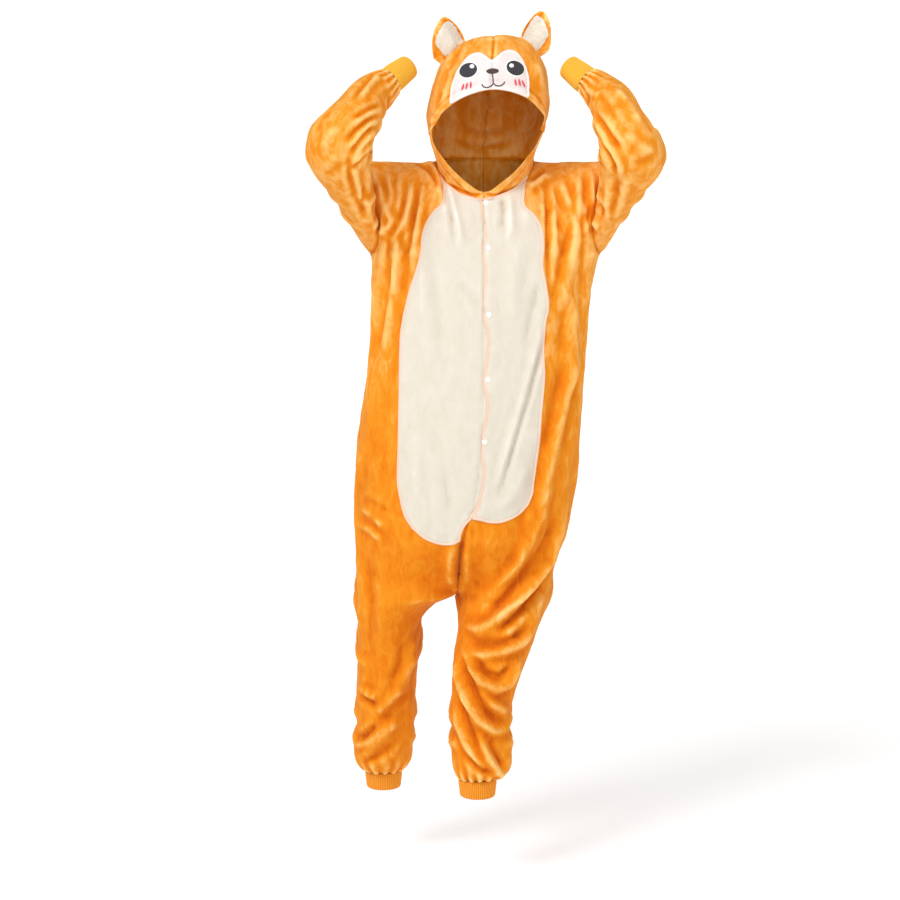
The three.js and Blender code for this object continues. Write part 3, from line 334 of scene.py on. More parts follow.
    (((0.108, 0.101), (0.110, 0.061), (0.090, 0.019)), 4, 8),
    # belly
    (((0.119, -0.338), (0.096, -0.420), (0.072, -0.503), (0.052, -0.570), (0.033, -0.638)), -5, 5),
    (((0.107, -0.336), (0.085, -0.418), (0.062, -0.500), (0.042, -0.568), (0.024, -0.630)), 4, 7),
    (((-0.089, -0.026), (-0.071, -0.094), (-0.059, -0.160)), -4, 5),
    (((-0.078, -0.036), (-0.060, -0.098), (-0.049, -0.168)), 3, 7),
    (((-0.110, -0.165), (-0.102, -0.239), (-0.090, -0.333), (-0.076, -0.428)), -3, 12),
    (((-0.128, -0.190), (-0.122, -0.290), (-0.112, -0.390)), 3, 14),
    (((-0.053, -0.238), (-0.029, -0.262), (-0.008, -0.287)), -3, 9),
    (((0.034, -0.070), (0.034, -0.100), (0.032, -0.130)), -4, 7),
    (((0.046, -0.075), (0.048, -0.110), (0.045, -0.150)), 3, 8),
    (((0.105, -0.239), (0.093, -0.294), (0.081, -0.351)), -4, 9),
    (((0.060, -0.150), (0.052, -0.230), (0.056, -0.310)), 3, 14),
    (((-0.145, -0.480), (-0.138, -0.560), (-0.142, -0.640)), 3, 14),
    (((-0.100, -0.540), (-0.080, -0.620), (-0.070, -0.700)), -3, 14),
    (((0.080, -0.600), (0.060, -0.650), (0.020, -0.690)), 3, 12),
]

# x and z, seen from behind
BACK_FOLDS = [
    # shoulders and upper back
    (((-0.205, -0.010), (-0.196, -0.070), (-0.178, -0.150)), 7, 11),
    (((-0.188, -0.015), (-0.176, -0.080), (-0.160, -0.140)), -5, 9),
    (((0.204, -0.012), (0.196, -0.072), (0.180, -0.140)), 7, 10),
    (((0.186, -0.016), (0.178, -0.070), (0.162, -0.150)), -5, 9),
    (((-0.150, 0.000), (-0.128, -0.070), (-0.118, -0.160)), 4, 12),
    (((0.150, 0.000), (0.134, -0.060), (0.120, -0.150)), 4, 12),
    (((-0.226, -0.150), (-0.186, -0.205), (-0.128, -0.262)), 7, 12),
    (((-0.222, -0.180), (-0.176, -0.240), (-0.120, -0.300)), -5, 10),
    (((-0.224, -0.215), (-0.180, -0.282), (-0.112, -0.352)), 6, 13),
    (((0.228, -0.150), (0.190, -0.210), (0.126, -0.270)), 7, 12),
    (((0.226, -0.186), (0.180, -0.250), (0.124, -0.306)), -5, 10),
    (((0.226, -0.225), (0.176, -0.296), (0.104, -0.366)), 6, 13),
    # waist and seat
    (((-0.100, -0.180), (-0.088, -0.290), (-0.096, -0.410)), 5, 16),
    (((0.092, -0.190), (0.078, -0.300), (0.084, -0.430)), 5, 16),
    (((-0.046, -0.210), (-0.040, -0.340), (-0.052, -0.450)), -4, 15),
    (((0.034, -0.220), (0.030, -0.340), (0.038, -0.460)), -4, 15),
    (((-0.190, -0.380), (-0.160, -0.480), (-0.120, -0.570)), 7, 14),
    (((-0.208, -0.440), (-0.178, -0.540), (-0.140, -0.640)), -5, 13),
    (((0.180, -0.380), (0.150, -0.480), (0.104, -0.570)), 7, 14),
    (((0.184, -0.450), (0.154, -0.540), (0.114, -0.640)), -5, 13),
    (((-0.226, -0.500), (-0.208, -0.610), (-0.170, -0.720)), 6, 14),
    (((0.182, -0.520), (0.158, -0.620), (0.110, -0.730)), 6, 14),
    (((-0.120, -0.700), (-0.080, -0.760), (-0.046, -0.820)), 8, 13),
    (((-0.160, -0.730), (-0.110, -0.800), (-0.062, -0.860)), -6, 11),
    (((-0.200, -0.740), (-0.150, -0.820), (-0.084, -0.890)), 8, 13),
    (((0.070, -0.690), (0.020, -0.750), (-0.028, -0.810)), 8, 13),
    (((0.104, -0.720), (0.050, -0.790), (-0.010, -0.850)), -6, 11),
    (((0.132, -0.750), (0.080, -0.830), (0.006, -0.900)), 8, 13),
    (((-0.050, -0.560), (-0.048, -0.660), (-0.052, -0.760)), -5, 13),
    # legs
    (((-0.262, -0.860), (-0.226, -0.930), (-0.160, -0.986)), 7, 12),
    (((-0.256, -0.920), (-0.210, -0.985), (-0.148, -1.020)), -6, 10),
    (((-0.258, -0.965), (-0.204, -1.026), (-0.146, -1.050)), 8, 11),
    (((-0.254, -1.020), (-0.206, -1.062), (-0.156, -1.070)), -6, 9),
    (((-0.150, -1.080), (-0.196, -1.104), (-0.256, -1.110)), 8, 11),
    (((-0.154, -1.124), (-0.206, -1.150), (-0.266, -1.146)), -5, 9),
    (((-0.152, -1.150), (-0.208, -1.186), (-0.270, -1.196)), 8, 10),
    (((-0.160, -1.206), (-0.212, -1.226), (-0.270, -1.226)), 5, 9),
    (((-0.206, -0.880), (-0.200, -0.960), (-0.208, -1.060)), 4, 16),
    (((0.118, -0.880), (0.070, -0.946), (-0.020, -0.976)), 8, 12),
    (((0.106, -0.930), (0.056, -0.990), (-0.030, -1.006)), -6, 10),
    (((0.090, -0.976), (0.040, -1.028), (-0.040, -1.030)), 8, 11),
    (((-0.060, -1.056), (-0.012, -1.088), (0.052, -1.082)), 8, 10),
    (((-0.060, -1.096), (-0.012, -1.124), (0.046, -1.120)), -6, 9),
    (((-0.062, -1.126), (-0.006, -1.160), (0.048, -1.164)), 8, 10),
    (((-0.060, -1.180), (-0.006, -1.204), (0.050, -1.200)), 5, 9),
    # sleeves
    (((-0.228, 0.000), (-0.262, -0.010), (-0.300, 0.010)), 6, 9),
    (((-0.232, -0.050), (-0.268, -0.044), (-0.310, -0.020)), 6, 10),
    (((-0.236, -0.100), (-0.270, -0.090), (-0.304, -0.060)), -5, 9),
    (((-0.330, 0.030), (-0.300, 0.052), (-0.262, 0.060)), 6, 9),
    (((-0.320, 0.072), (-0.288, 0.090), (-0.250, 0.094)), 5, 9),
    (((-0.290, 0.112), (-0.254, 0.124), (-0.216, 0.118)), -5, 8),
    (((0.228, 0.000), (0.262, -0.012), (0.300, 0.006)), 6, 9),
    (((0.234, -0.052), (0.270, -0.046), (0.312, -0.022)), 6, 10),
    (((0.238, -0.102), (0.272, -0.090), (0.306, -0.062)), -5, 9),
    (((0.332, 0.026), (0.302, 0.048), (0.264, 0.052)), 6, 9),
    (((0.324, 0.068), (0.290, 0.086), (0.256, 0.088)), 5, 9),
    (((0.296, 0.108), (0.262, 0.120), (0.226, 0.114)), -5, 8),
    # hood
    (((-0.078, 0.150), (-0.068, 0.100), (-0.070, 0.050)), 5, 11),
    (((0.094, 0.160), (0.088, 0.100), (0.078, 0.052)), 5, 11),
    (((-0.040, 0.080), (-0.004, 0.066), (0.040, 0.076)), 5, 10),
    (((-0.060, 0.036), (-0.006, 0.024), (0.054, 0.034)), -6, 8),
]

# y and z, seen from either side
SIDE_FOLDS = [
    (((-0.060, -0.230), (-0.050, -0.360), (-0.066, -0.480)), 6, 14),
    (((0.046, -0.220), (0.036, -0.350), (0.052, -0.470)), 6, 14),
    (((-0.014, -0.260), (-0.004, -0.400), (-0.020, -0.540)), -5, 14),
    (((0.020, -0.520), (0.044, -0.640), (0.030, -0.760)), 7, 16),
    (((-0.060, -0.560), (-0.034, -0.680), (-0.050, -0.800)), 6, 15),
    (((0.070, -0.780), (0.030, -0.860), (-0.040, -0.920)), 7, 14),
    (((0.064, -0.840), (0.020, -0.920), (-0.050, -0.970)), -5, 12),
    (((0.050, -0.960), (0.000, -1.010), (-0.060, -1.030)), 6, 12),
    (((0.070, -1.110), (0.040, -1.140), (0.000, -1.150)), 6, 11),
    (((-0.050, -1.080), (-0.090, -1.120), (-0.130, -1.130)), 6, 11),
    (((0.080, -1.180), (0.050, -1.206), (0.004, -1.200)), 5, 10),
    (((-0.060, -1.150), (-0.100, -1.176), (-0.150, -1.170)), 5, 10),
    (((-0.100, -0.060), (-0.140, -0.090), (-0.190, -0.080)), 5, 11),
    (((-0.030, -0.090), (-0.090, -0.140), (-0.160, -0.120)), 5, 11),
    (((-0.190, 0.080), (-0.170, 0.040), (-0.180, -0.010)), 5, 10),
    (((-0.150, 0.130), (-0.130, 0.090), (-0.120, 0.040)), -5, 9),
    (((-0.060, 0.200), (-0.030, 0.140), (-0.040, 0.070)), 4, 13),
    (((0.040, 0.180), (0.050, 0.120), (0.040, 0.060)), 5, 12),
]


def line_distance(spots, line):
    """Distance from each spot to a line of points, and how far along it, from 0 to 1."""
    line = np.array(line)
    steps = np.diff(line, axis=0)
    lengths = np.linalg.norm(steps, axis=1)
    starts = np.concatenate([[0], np.cumsum(lengths)])
    best = np.full(len(spots), np.inf)
    along = np.zeros(len(spots))
    for start, step, length, passed in zip(line, steps, lengths, starts):
        t = np.clip((spots - start) @ step / length ** 2, 0, 1)
        gap = np.linalg.norm(spots - (start + t[:, None] * step), axis=1)
        closer = gap < best
        best[closer] = gap[closer]
        along[closer] = ((passed + t * length) / starts[-1])[closer]
    return best, along


# A fold's section: a crest is rounder than a valley, and the cloth turns the other way a little beside it,
# two half widths from its line. A fold starts at a quarter of its height and is full a little further on.
FOLD = {"crest": 1.6, "valley": 1.3, "dip": 0.26, "dip_at": 2.0, "start": 0.25, "steep": 5}
FRONT_GAIN = 1.28
FACING = {"least": 0.12, "gain": 1.5}


def fold_height(spots, facing, folds):
    """Height in metres that the folds give to points, on the side of the garment that faces their way."""
    height = np.zeros(len(spots))
    weight = np.clip(FACING["least"] + FACING["gain"] * facing, 0, 1)
    for line, tall, wide in folds:
        half = wide / 1000
        inside = (spots > np.min(line, axis=0) - 4 * half) & (spots < np.max(line, axis=0) + 4 * half)
        near = np.flatnonzero(inside.all(axis=1) & (weight > 0))
        gap, along = line_distance(spots[near], line)
        across = gap / half
        taper = np.clip(np.minimum(along, 1 - along) * FOLD["steep"] + FOLD["start"], 0, 1)
        shape = np.exp(-across ** FOLD["crest" if tall > 0 else "valley"])
        shape -= FOLD["dip"] * np.exp(-(across - FOLD["dip_at"]) ** 2)
        height[near] += tall / 1000 * shape * taper * weight[near]
    return height


def read_points(mesh):
    """Place and outward direction of each point."""
    places = np.empty(len(mesh.vertices) * 3)
    mesh.vertices.foreach_get("co", places)
    normals = np.empty(len(mesh.vertices) * 3)
    mesh.vertices.foreach_get("normal", normals)
    return places.reshape(-1, 3), normals.reshape(-1, 3)


def move_points(mesh, places):
    mesh.vertices.foreach_set("co", places.ravel())
    mesh.update()


def edge_ends(mesh):
    """The two points of each edge."""
    ends = np.empty(len(mesh.edges) * 2, int)
    mesh.edges.foreach_get("vertices", ends)
    return ends.reshape(-1, 2)


def open_edge(mesh):
    """The points on the open edges of a cloth, before it has a thickness."""
    used = np.empty(len(mesh.loops), int)
    mesh.loops.foreach_get("edge_index", used)
    return np.unique(edge_ends(mesh)[np.bincount(used, minlength=len(mesh.edges)) == 1])


def gap_to(places, spots, most):
    """Distance from each place to the nearest of some spots, up to a most."""
    tree = KDTree(len(spots))
    for i, spot in enumerate(spots):
        tree.insert(spot, i)
    tree.balance()
    gaps = np.full(len(places), most)
    low = spots.min(axis=0) - most
    high = spots.max(axis=0) + most
    for i in np.flatnonzero(np.all((places > low) & (places < high), axis=1)):
        gaps[i] = min(most, tree.find(places[i])[2])
    return gaps


def uneven(places, height, pitch, seed):
    """Smooth chance up to a height on both sides of the cloth, with bumps about a pitch apart."""
    return height * np.array([noise.noise(Vector(p) / pitch + Vector((seed, 0, 0))) for p in places])


BEND_SHADE = 0.0032            # how much a bend of one in a metre moves the painted shade and highlight
BEND_PASSES = 4


def keep_bend(mesh):
    """Keeps how far the cloth bends outwards (1) or inwards (0) at each point, for its material to paint
    shade in the hollows and a highlight on the crests.
    """
    places, normals = read_points(mesh)
    one, other = edge_ends(mesh).T
    links = np.bincount(np.concatenate([one, other]), minlength=len(places))

    def around(field):
        total = np.bincount(one, field[other], len(places)) + np.bincount(other, field[one], len(places))
        return total / np.maximum(links, 1)

    middle = np.stack([around(places[:, k]) for k in range(3)], axis=1)
    length = np.linalg.norm(places[one] - places[other], axis=1)
    square = np.bincount(one, length ** 2, len(places)) + np.bincount(other, length ** 2, len(places))
    bend = 4 * np.sum(normals * (places - middle), axis=1) / (square / np.maximum(links, 1))
    bend[open_edge(mesh)] = 0
    for _ in range(BEND_PASSES):
        bend = around(bend)
    layer = mesh.attributes.new("bend", "FLOAT", "POINT")
    layer.data.foreach_set("value", np.clip(0.5 + bend * BEND_SHADE, 0, 1))


# Between the folds the cloth is a little uneven: height, pitch and seed of each size of bump. Where two
# panels are sewn the pile sinks, and the cloth puckers on both sides.
SLACK = [(0.0026, 0.085, 3), (0.0011, 0.032, 11)]
SEAM = {"depth": 0.0022, "half": 0.0036, "far": 0.03, "pucker": (0.0011, 0.013, 29), "fade": 0.011}
FROM_SIDE = {"gain": 1.3, "least": 0.55}
places, normals = read_points(skin.data)
panel = np.repeat([p.material_index for p in skin.data.polygons], [p.loop_total for p in skin.data.polygons])
corner = np.empty(len(skin.data.loops), int)
skin.data.loops.foreach_get("vertex_index", corner)
lowest = np.full(len(places), len(SEWN))
highest = np.full(len(places), -1)
np.minimum.at(lowest, corner, panel)
np.maximum.at(highest, corner, panel)
seam_gap = gap_to(places, places[lowest != highest], SEAM["far"])
rise = FRONT_GAIN * fold_height(places[:, [0, 2]], -normals[:, 1], FRONT_FOLDS)
rise += fold_height(places[:, [0, 2]], normals[:, 1], BACK_FOLDS)
sideways = np.abs(normals[:, 0]) * FROM_SIDE["gain"] - FROM_SIDE["least"]
rise += fold_height(places[:, [1, 2]], sideways, SIDE_FOLDS)
for bumps in SLACK:
    rise += uneven(places, *bumps)
rise -= SEAM["depth"] * np.exp(-(seam_gap / SEAM["half"]) ** 2)
rise += np.exp(-seam_gap / SEAM["fade"]) * uneven(places, *SEAM["pucker"])

# The open edges: the hood's rim is turned in and stitched down, and the sleeves and legs are gathered into
# their cuffs.
HOOD_RIM = {"half": 0.14, "low": -0.09}
HEM = {"wide": 0.017, "puff": 0.0011, "stitch": 0.0016, "half": 0.0022, "far": 0.04}
PLEATS = {"number": 15, "height": 0.0030, "fade": 0.028, "wander": (1.6, 0.05, 41), "turn_in": 0.0042,
          "lip": 0.008, "around": 0.13, "up": 0.12, "down": 0.01}
edge = places[open_edge(skin.data)]
rim = edge[(np.abs(edge[:, 0]) < HOOD_RIM["half"]) & (edge[:, 2] > HOOD_RIM["low"])]
rim_gap = gap_to(places, rim, HEM["far"])
rise += HEM["puff"] * np.exp(-((rim_gap - HEM["wide"] / 2) / (HEM["wide"] / 2)) ** 4)
rise -= HEM["stitch"] * np.exp(-((rim_gap - HEM["wide"]) / HEM["half"]) ** 2)


def cuff_ends(cuff, sewn_to):
    """The two ends of a cuff's axis: the one that is sewn on, and the free one. Ankle cuffs are upright."""
    if cuff.startswith("ankle"):
        low, high = (Vector(v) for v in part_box(cuff))
        upper = Vector(((low.x + high.x) / 2, (low.y + high.y) / 2, high.z))
        return upper, Vector((upper.x, upper.y, low.z))
    points = np.array([v.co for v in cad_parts[cuff].data.vertices])
    middle = points.mean(axis=0)
    spread, axes = np.linalg.svd(points - middle, full_matrices=False)[1:]
    axis = axes[0] if spread[0] - spread[1] > spread[1] - spread[2] else axes[2]
    sleeve = np.array([v.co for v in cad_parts[sewn_to].data.vertices]).mean(axis=0)
    if (middle - sleeve) @ axis < 0:
        axis = -axis
    half = np.ptp((points - middle) @ axis) / 2
    return Vector(middle - axis * half), Vector(middle + axis * half)


CUFFS = {"wrist_cuff_right": "sleeve_right", "wrist_cuff_left": "sleeve_left",
         "ankle_cuff_right": "front_right", "ankle_cuff_left": "front_left"}
for cuff, sewn_to in CUFFS.items():
    start, end = cuff_ends(cuff, sewn_to)
    turned = (end - start).normalized().to_track_quat("Z", "Y").to_matrix()
    across, over, along = ((places - np.array(start)) @ np.array(turned)).T
    near = (np.hypot(across, over) < PLEATS["around"]) & (-along < PLEATS["up"]) & (along < PLEATS["down"])
    away = np.abs(along[near])
    angle = np.arctan2(over[near], across[near]) * PLEATS["number"] + uneven(places[near], *PLEATS["wander"])
    rise[near] += PLEATS["height"] * np.cos(angle) * np.exp(-away / PLEATS["fade"])
    rise[near] -= PLEATS["turn_in"] * np.clip(1 - away / PLEATS["lip"], 0, 1) ** 2

NAP = (0.00022, 0.0042, 53)
move_points(skin.data, places + normals * rise[:, None])
keep_bend(skin.data)
places, normals = read_points(skin.data)
move_points(skin.data, places + normals * uneven(places, *NAP)[:, None])
skin_tree = BVHTree.FromPolygons([v.co.copy() for v in skin.data.vertices],
                                 [tuple(p.vertices) for p in skin.data.polygons])
only(skin)
bpy.ops.object.mode_set(mode="EDIT")
bpy.ops.mesh.select_all(action="SELECT")
bpy.ops.mesh.separate(type="MATERIAL")
bpy.ops.object.mode_set(mode="OBJECT")
panels = list(bpy.context.selected_objects)


def add_node(finish, kind, settings, fed_by):
    """A node of a material, with these values on its inputs and these inputs fed by other nodes' sockets."""
    node = finish.node_tree.nodes.new("ShaderNode" + kind)
    for socket, value in settings.items():
        node.inputs[socket].default_value = value
    for socket, source in fed_by.items():
        finish.node_tree.links.new(source, node.inputs[socket])
    return node


def feed_shader(finish, socket, source):
    finish.node_tree.links.new(source, finish.node_tree.nodes["Principled BSDF"].inputs[socket])


def kept_value(finish, name):
    """What the mesh keeps under a name at each point, such as its bend."""
    kept = add_node(finish, "Attribute", {}, {})
    kept.attribute_name = name
    return kept.outputs["Fac"]


def raise_grain(finish, height, strength, distance):
    """Fine relief from the heights that a node gives."""
    bump = add_node(finish, "Bump", {"Strength": strength, "Distance": distance}, {"Height": height})
    feed_shader(finish, "Normal", bump.outputs["Normal"])


# The centre of a painted pool of light on the upper body: the plush is painted paler near it.
LIT_CHEST = (0, -0.08, -0.10)
# Where the tones, from painted shade to painted highlight, sit on the bend.
SHADE_TO_HIGHLIGHT_STOPS = (0.12, 0.42, 0.64, 0.95)


def plush(name, tones, sheen, chest_light):
    """Short brushed pile in random patches, with painted shade in the hollows, a painted highlight on the
    crests and a painted pool of light round the chest.
    """
    made = new_finish(name, {"Roughness": 0.85, "Sheen Weight": 0.3, "Sheen Roughness": 0.4,
                             "Sheen Tint": (*sheen, 1), "Specular IOR Level": 0.12})
    place = add_node(made, "TexCoord", {}, {}).outputs["Object"]
    stroke = add_node(made, "Mapping", {"Scale": (1, 1, 0.45)}, {"Vector": place}).outputs["Vector"]
    brushed = add_node(made, "TexNoise", {"Scale": 55, "Detail": 8, "Roughness": 0.62, "Distortion": 0.8},
                       {"Vector": stroke})
    patches = add_node(made, "MapRange",
                       {"From Min": 0.25, "From Max": 0.75, "To Min": -0.17, "To Max": 0.17},
                       {"Value": brushed.outputs["Fac"]})
    # Painted light: the plush is painted paler round the chest, as if lit from above, and random brushed
    # patches are added to it.
    from_chest = add_node(made, "VectorMath", {1: LIT_CHEST}, {0: place})
    from_chest.operation = "DISTANCE"
    painted_chest_light = add_node(made, "MapRange",
                     {"From Min": 0.05, "From Max": 0.75, "To Min": chest_light, "To Max": 0},
                     {"Value": from_chest.outputs["Value"]})
    painted_chest_light.interpolation_type = "SMOOTHSTEP"
    chest_light_and_patches = add_node(made, "Math", {}, {0: painted_chest_light.outputs["Result"], 1: patches.outputs["Result"]})
    # The bend paints shade in the hollows and a highlight on the crests, and the chest's painted light and
    # the patches move the tone further.
    shade_and_light = add_node(made, "Math", {}, {0: kept_value(made, "bend"), 1: chest_light_and_patches.outputs["Value"]})
    ramp = add_node(made, "ValToRGB", {}, {"Fac": shade_and_light.outputs["Value"]})
    stops = ramp.color_ramp.elements
    while len(stops) < len(tones):
        stops.new(0.5)
    for stop, at, colour in zip(stops, SHADE_TO_HIGHLIGHT_STOPS, tones):
        stop.position = at
        stop.color = (*colour, 1)
    feed_shader(made, "Base Color", ramp.outputs["Color"])
    nap = add_node(made, "TexNoise", {"Scale": 850, "Detail": 3}, {"Vector": stroke})
    raise_grain(made, nap.outputs["Fac"], 0.35, 0.001)
    return made


def give_wall(piece, thickness):
    """Gives a skin its thickness, inwards."""
    only(piece)
    wall = piece.modifiers.new("wall", "SOLIDIFY")
    wall.thickness = thickness
    wall.offset = -1
    bpy.ops.object.modifier_apply(modifier="wall")
    bpy.ops.object.shade_smooth()


def dress(piece, node, finish):
    """Gives a piece its finish, hangs it on the root, and hides the node that it stands for, if any."""
    piece.data.materials.clear()
    piece.data.materials.append(finish)
    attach(piece, "root")
    if node:
        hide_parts(node)


# Orange tones from painted shade in the deepest hollows to a painted highlight on the sharpest crests, with
# the cloth's own colour between.
ORANGE = [(0.46, 0.078, 0.001), (0.67, 0.165, 0.002), (0.75, 0.255, 0.012), (0.90, 0.54, 0.18)]
orange_plush = plush("orange_plush", ORANGE, (1.0, 0.60, 0.16), 0.22)
# The cut of each panel: flat width and length, and the share of that rectangle that is cloth.
CUT = {"front": (0.40, 1.34, 0.68), "back": (0.40, 1.40, 0.70),
       "sleeve": (0.52, 0.50, 0.78), "hood": (0.36, 0.40, 0.80)}
for piece in panels:
    piece.name = piece.data.name = piece.data.materials[piece.data.polygons[0].material_index].name
    node = piece.name.removesuffix("_cloth")
    give_wall(piece, CLOTH)
    dress(piece, node, orange_plush)
    wide, tall, share = CUT[node.split("_")[0]]

# ---- Cuffs ----
# Rib knit, folded double into a tube and sewn to the gathered cloth: yellow at the wrists and orange at the
# ankles. The ribs run along the tube, and the free end is a soft fold.

# The section: share of the cuff's length from its seam, and height over its taper in millimetres.
CUFF_PROFILE = [(-0.06, -2.2), (0.0, -1.0), (0.04, 0.1), (0.14, 0.9), (0.4, 1.1), (0.7, 0.8), (0.88, 0.9),
                (0.96, 0.5), (1.0, -0.7), (0.99, -2.0), (0.93, -2.9), (0.7, -3.2)]
RIB_POINTS = 6
RIB_HEIGHT = 0.00055
KNIT = 0.0009


def grain(finish, settings):
    """Noise that is fixed to the piece."""
    place = add_node(finish, "TexCoord", {}, {}).outputs["Object"]
    return add_node(finish, "TexNoise", settings, {"Vector": place}).outputs["Fac"]


def two_tones(finish, share, first, second):
    """Colours a finish between two tones by the share of the second, and gives the first tone's socket."""
    mix = add_node(finish, "Mix", {}, {})
    mix.data_type = "RGBA"
    mix.inputs["A"].default_value = (*first, 1)
    mix.inputs["B"].default_value = (*second, 1)
    finish.node_tree.links.new(share, mix.inputs["Factor"])
    feed_shader(finish, "Base Color", mix.outputs["Result"])
    return mix.inputs["A"]


def rib_knit(name, colour, groove_shade):
    """Rib knit: its own colour on the ribs, painted shade in the grooves between them, and fine stitches
    across.
    """
    made = new_finish(name, {"Roughness": 0.85, "Sheen Weight": 0.3, "Sheen Tint": (1, 0.85, 0.5, 1),
                             "Specular IOR Level": 0.15})
    two_tones(made, kept_value(made, "rib"), groove_shade, colour)
    raise_grain(made, grain(made, {"Scale": 700}), 0.4, 0.0008)
    return made


def stack_rings(name, points, rings):
    """Rings one above another, each as high as its number, in edit mode with the last one selected."""
    bpy.ops.object.select_all(action="DESELECT")
    bpy.ops.mesh.primitive_circle_add(vertices=points, radius=1)
    piece = bpy.context.object
    piece.name = piece.data.name = name
    bpy.ops.object.mode_set(mode="EDIT")
    bpy.ops.mesh.select_all(action="SELECT")
    for _ in range(rings - 1):
        bpy.ops.mesh.extrude_region_move(TRANSFORM_OT_translate={"value": (0, 0, 1)})
    return piece


# Each knit's own colour, and a darker tone painted in its grooves as shade.
RIBBING = {
    "wrist": {"ribs": 44, "radii": (0.027, 0.0225), "slot": "yellow_rib",
              "finish": rib_knit("yellow_rib", (0.89, 0.50, 0.052), (0.66, 0.31, 0.02))},
    "ankle": {"ribs": 60, "radii": (0.0385, 0.035), "slot": "orange_rib",
              "finish": rib_knit("orange_rib", (0.86, 0.33, 0.025), (0.58, 0.16, 0.004))}}
for cuff, sewn_to in CUFFS.items():
    knit = RIBBING[cuff.split("_")[0]]
    start, end = cuff_ends(cuff, sewn_to)
    at_seam, at_end = knit["radii"]
    piece = stack_rings(cuff + "_knit", knit["ribs"] * RIB_POINTS, len(CUFF_PROFILE))
    bpy.ops.mesh.select_all(action="SELECT")
    bpy.ops.mesh.normals_make_consistent(inside=False)
    bpy.ops.object.mode_set(mode="OBJECT")
    turned = (end - start).to_track_quat("Z", "Y").to_matrix()
    tones = piece.data.attributes.new("rib", "FLOAT", "POINT")
    for spot in piece.data.vertices:
        share, off = CUFF_PROFILE[round(spot.co.z)]
        angle = math.atan2(spot.co.y, spot.co.x)
        rib = 0.5 + 0.5 * math.cos(knit["ribs"] * angle)
        radius = at_seam + (at_end - at_seam) * share + off / 1000 + RIB_HEIGHT * (2 * rib - 1)
        tones.data[spot.index].value = rib
        spot.co = start + turned @ Vector((radius * math.cos(angle), radius * math.sin(angle),
                                           share * (end - start).length))
    give_wall(piece, KNIT)
    dress(piece, cuff, knit["finish"])

# ---- Belly ----
# Cream plush in two halves, each turned under at its edge and sewn on its front. The left half laps over the
# right one at the placket, whose edge wanders between the snaps. Lines are x and z, seen from the front.
BELLY_CLOTH = 0.0012
BELLY_LIFT = 0.0016
LAP = {"rise": 0.0019, "wide": 0.030, "under": 0.016}
BELLY_RIM = {"puff": 0.0012, "half": 0.0022, "stitch": 0.0008, "stitch_half": 0.0014, "at": 0.0055,
             "tuck": 0.7 * BELLY_LIFT, "tuck_wide": 0.0016, "far": 0.02}
NECKLINE = {"middle": -0.003, "side": 0.098, "side_z": 0.001, "middle_z": -0.071}
NET = {"wide": 0.17, "tall": 0.65, "step_across": 0.0012, "step_up": 0.0014, "rows": 190}
PAST_FRONT = 0.02             # y that only a line of sight which has missed the front reaches
BELLY_CUT = {"right": (0.20, 0.74, 0.86), "left": (0.15, 0.68, 0.86)}
PLACKET = [(-0.027, -0.701), (-0.015, -0.672), (-0.009, -0.642), (-0.005, -0.610), (-0.008, -0.580),
           (-0.009, -0.548), (-0.001, -0.506), (0.002, -0.470), (-0.002, -0.449), (-0.004, -0.425),
           (0.001, -0.387), (0.004, -0.352), (0.000, -0.324), (-0.006, -0.295), (-0.006, -0.262),
           (-0.002, -0.229), (-0.004, -0.196), (-0.008, -0.166), (-0.003, -0.139), (-0.010, -0.102),
           (-0.012, -0.072)]
RIGHT_EDGE = [(-0.147, -0.727), (-0.163, -0.701), (-0.171, -0.670), (-0.177, -0.628), (-0.175, -0.560),
              (-0.174, -0.502), (-0.172, -0.430), (-0.170, -0.351), (-0.165, -0.309), (-0.151, -0.250),
              (-0.136, -0.205), (-0.129, -0.172), (-0.127, -0.148), (-0.119, -0.122), (-0.104, -0.097),
              (-0.086, -0.079), (-0.085, -0.055), (-0.091, -0.024)]
RIGHT_END = [(-0.051, -0.752), (-0.067, -0.759), (-0.091, -0.759), (-0.121, -0.748), (-0.147, -0.727)]
RIGHT_FOLD = [(-0.051, -0.752), (-0.043, -0.724), (-0.024, -0.701)]
LEFT_EDGE = [(0.087, -0.680), (0.096, -0.656), (0.099, -0.628), (0.107, -0.559), (0.113, -0.487),
             (0.118, -0.427), (0.117, -0.389), (0.118, -0.326), (0.125, -0.283), (0.120, -0.241),
             (0.113, -0.202), (0.115, -0.163), (0.111, -0.128), (0.096, -0.103), (0.078, -0.085),
             (0.078, -0.058), (0.083, -0.026)]
LEFT_END = [(-0.027, -0.706), (-0.012, -0.709), (0.005, -0.714), (0.027, -0.715), (0.049, -0.709),
            (0.069, -0.698), (0.087, -0.680)]


def along_line(line, shares):
    """Points at shares of the length of a smooth line through some points."""
    points = np.array(line)
    padded = np.vstack([2 * points[0] - points[1], points, 2 * points[-1] - points[-2]])
    t = np.linspace(0, 1, 8, endpoint=False)[:, None]
    smooth = []
    for a, b, c, d in zip(padded, padded[1:], padded[2:], padded[3:]):
        smooth.append(0.5 * (2 * b + (c - a) * t + (2 * a - 5 * b + 4 * c - d) * t ** 2
                             + (3 * b - a - 3 * c + d) * t ** 3))
    smooth = np.vstack(smooth + [points[-1:]])
    reach = np.concatenate([[0], np.cumsum(np.linalg.norm(np.diff(smooth, axis=0), axis=1))])
    return np.stack([np.interp(shares * reach[-1], reach, smooth[:, k]) for k in range(2)], axis=1)


def closer_at_ends(count, length, first):
    """Shares from 0 to 1 whose steps are short at both ends, so that an edge can be rolled."""
    x = np.linspace(-1, 1, count)
    slope = min(0.98, 1 - first * (count - 1) / length)
    return 0.5 + 0.5 * (x * (1 - slope) + slope * np.sin(x * math.pi / 2))


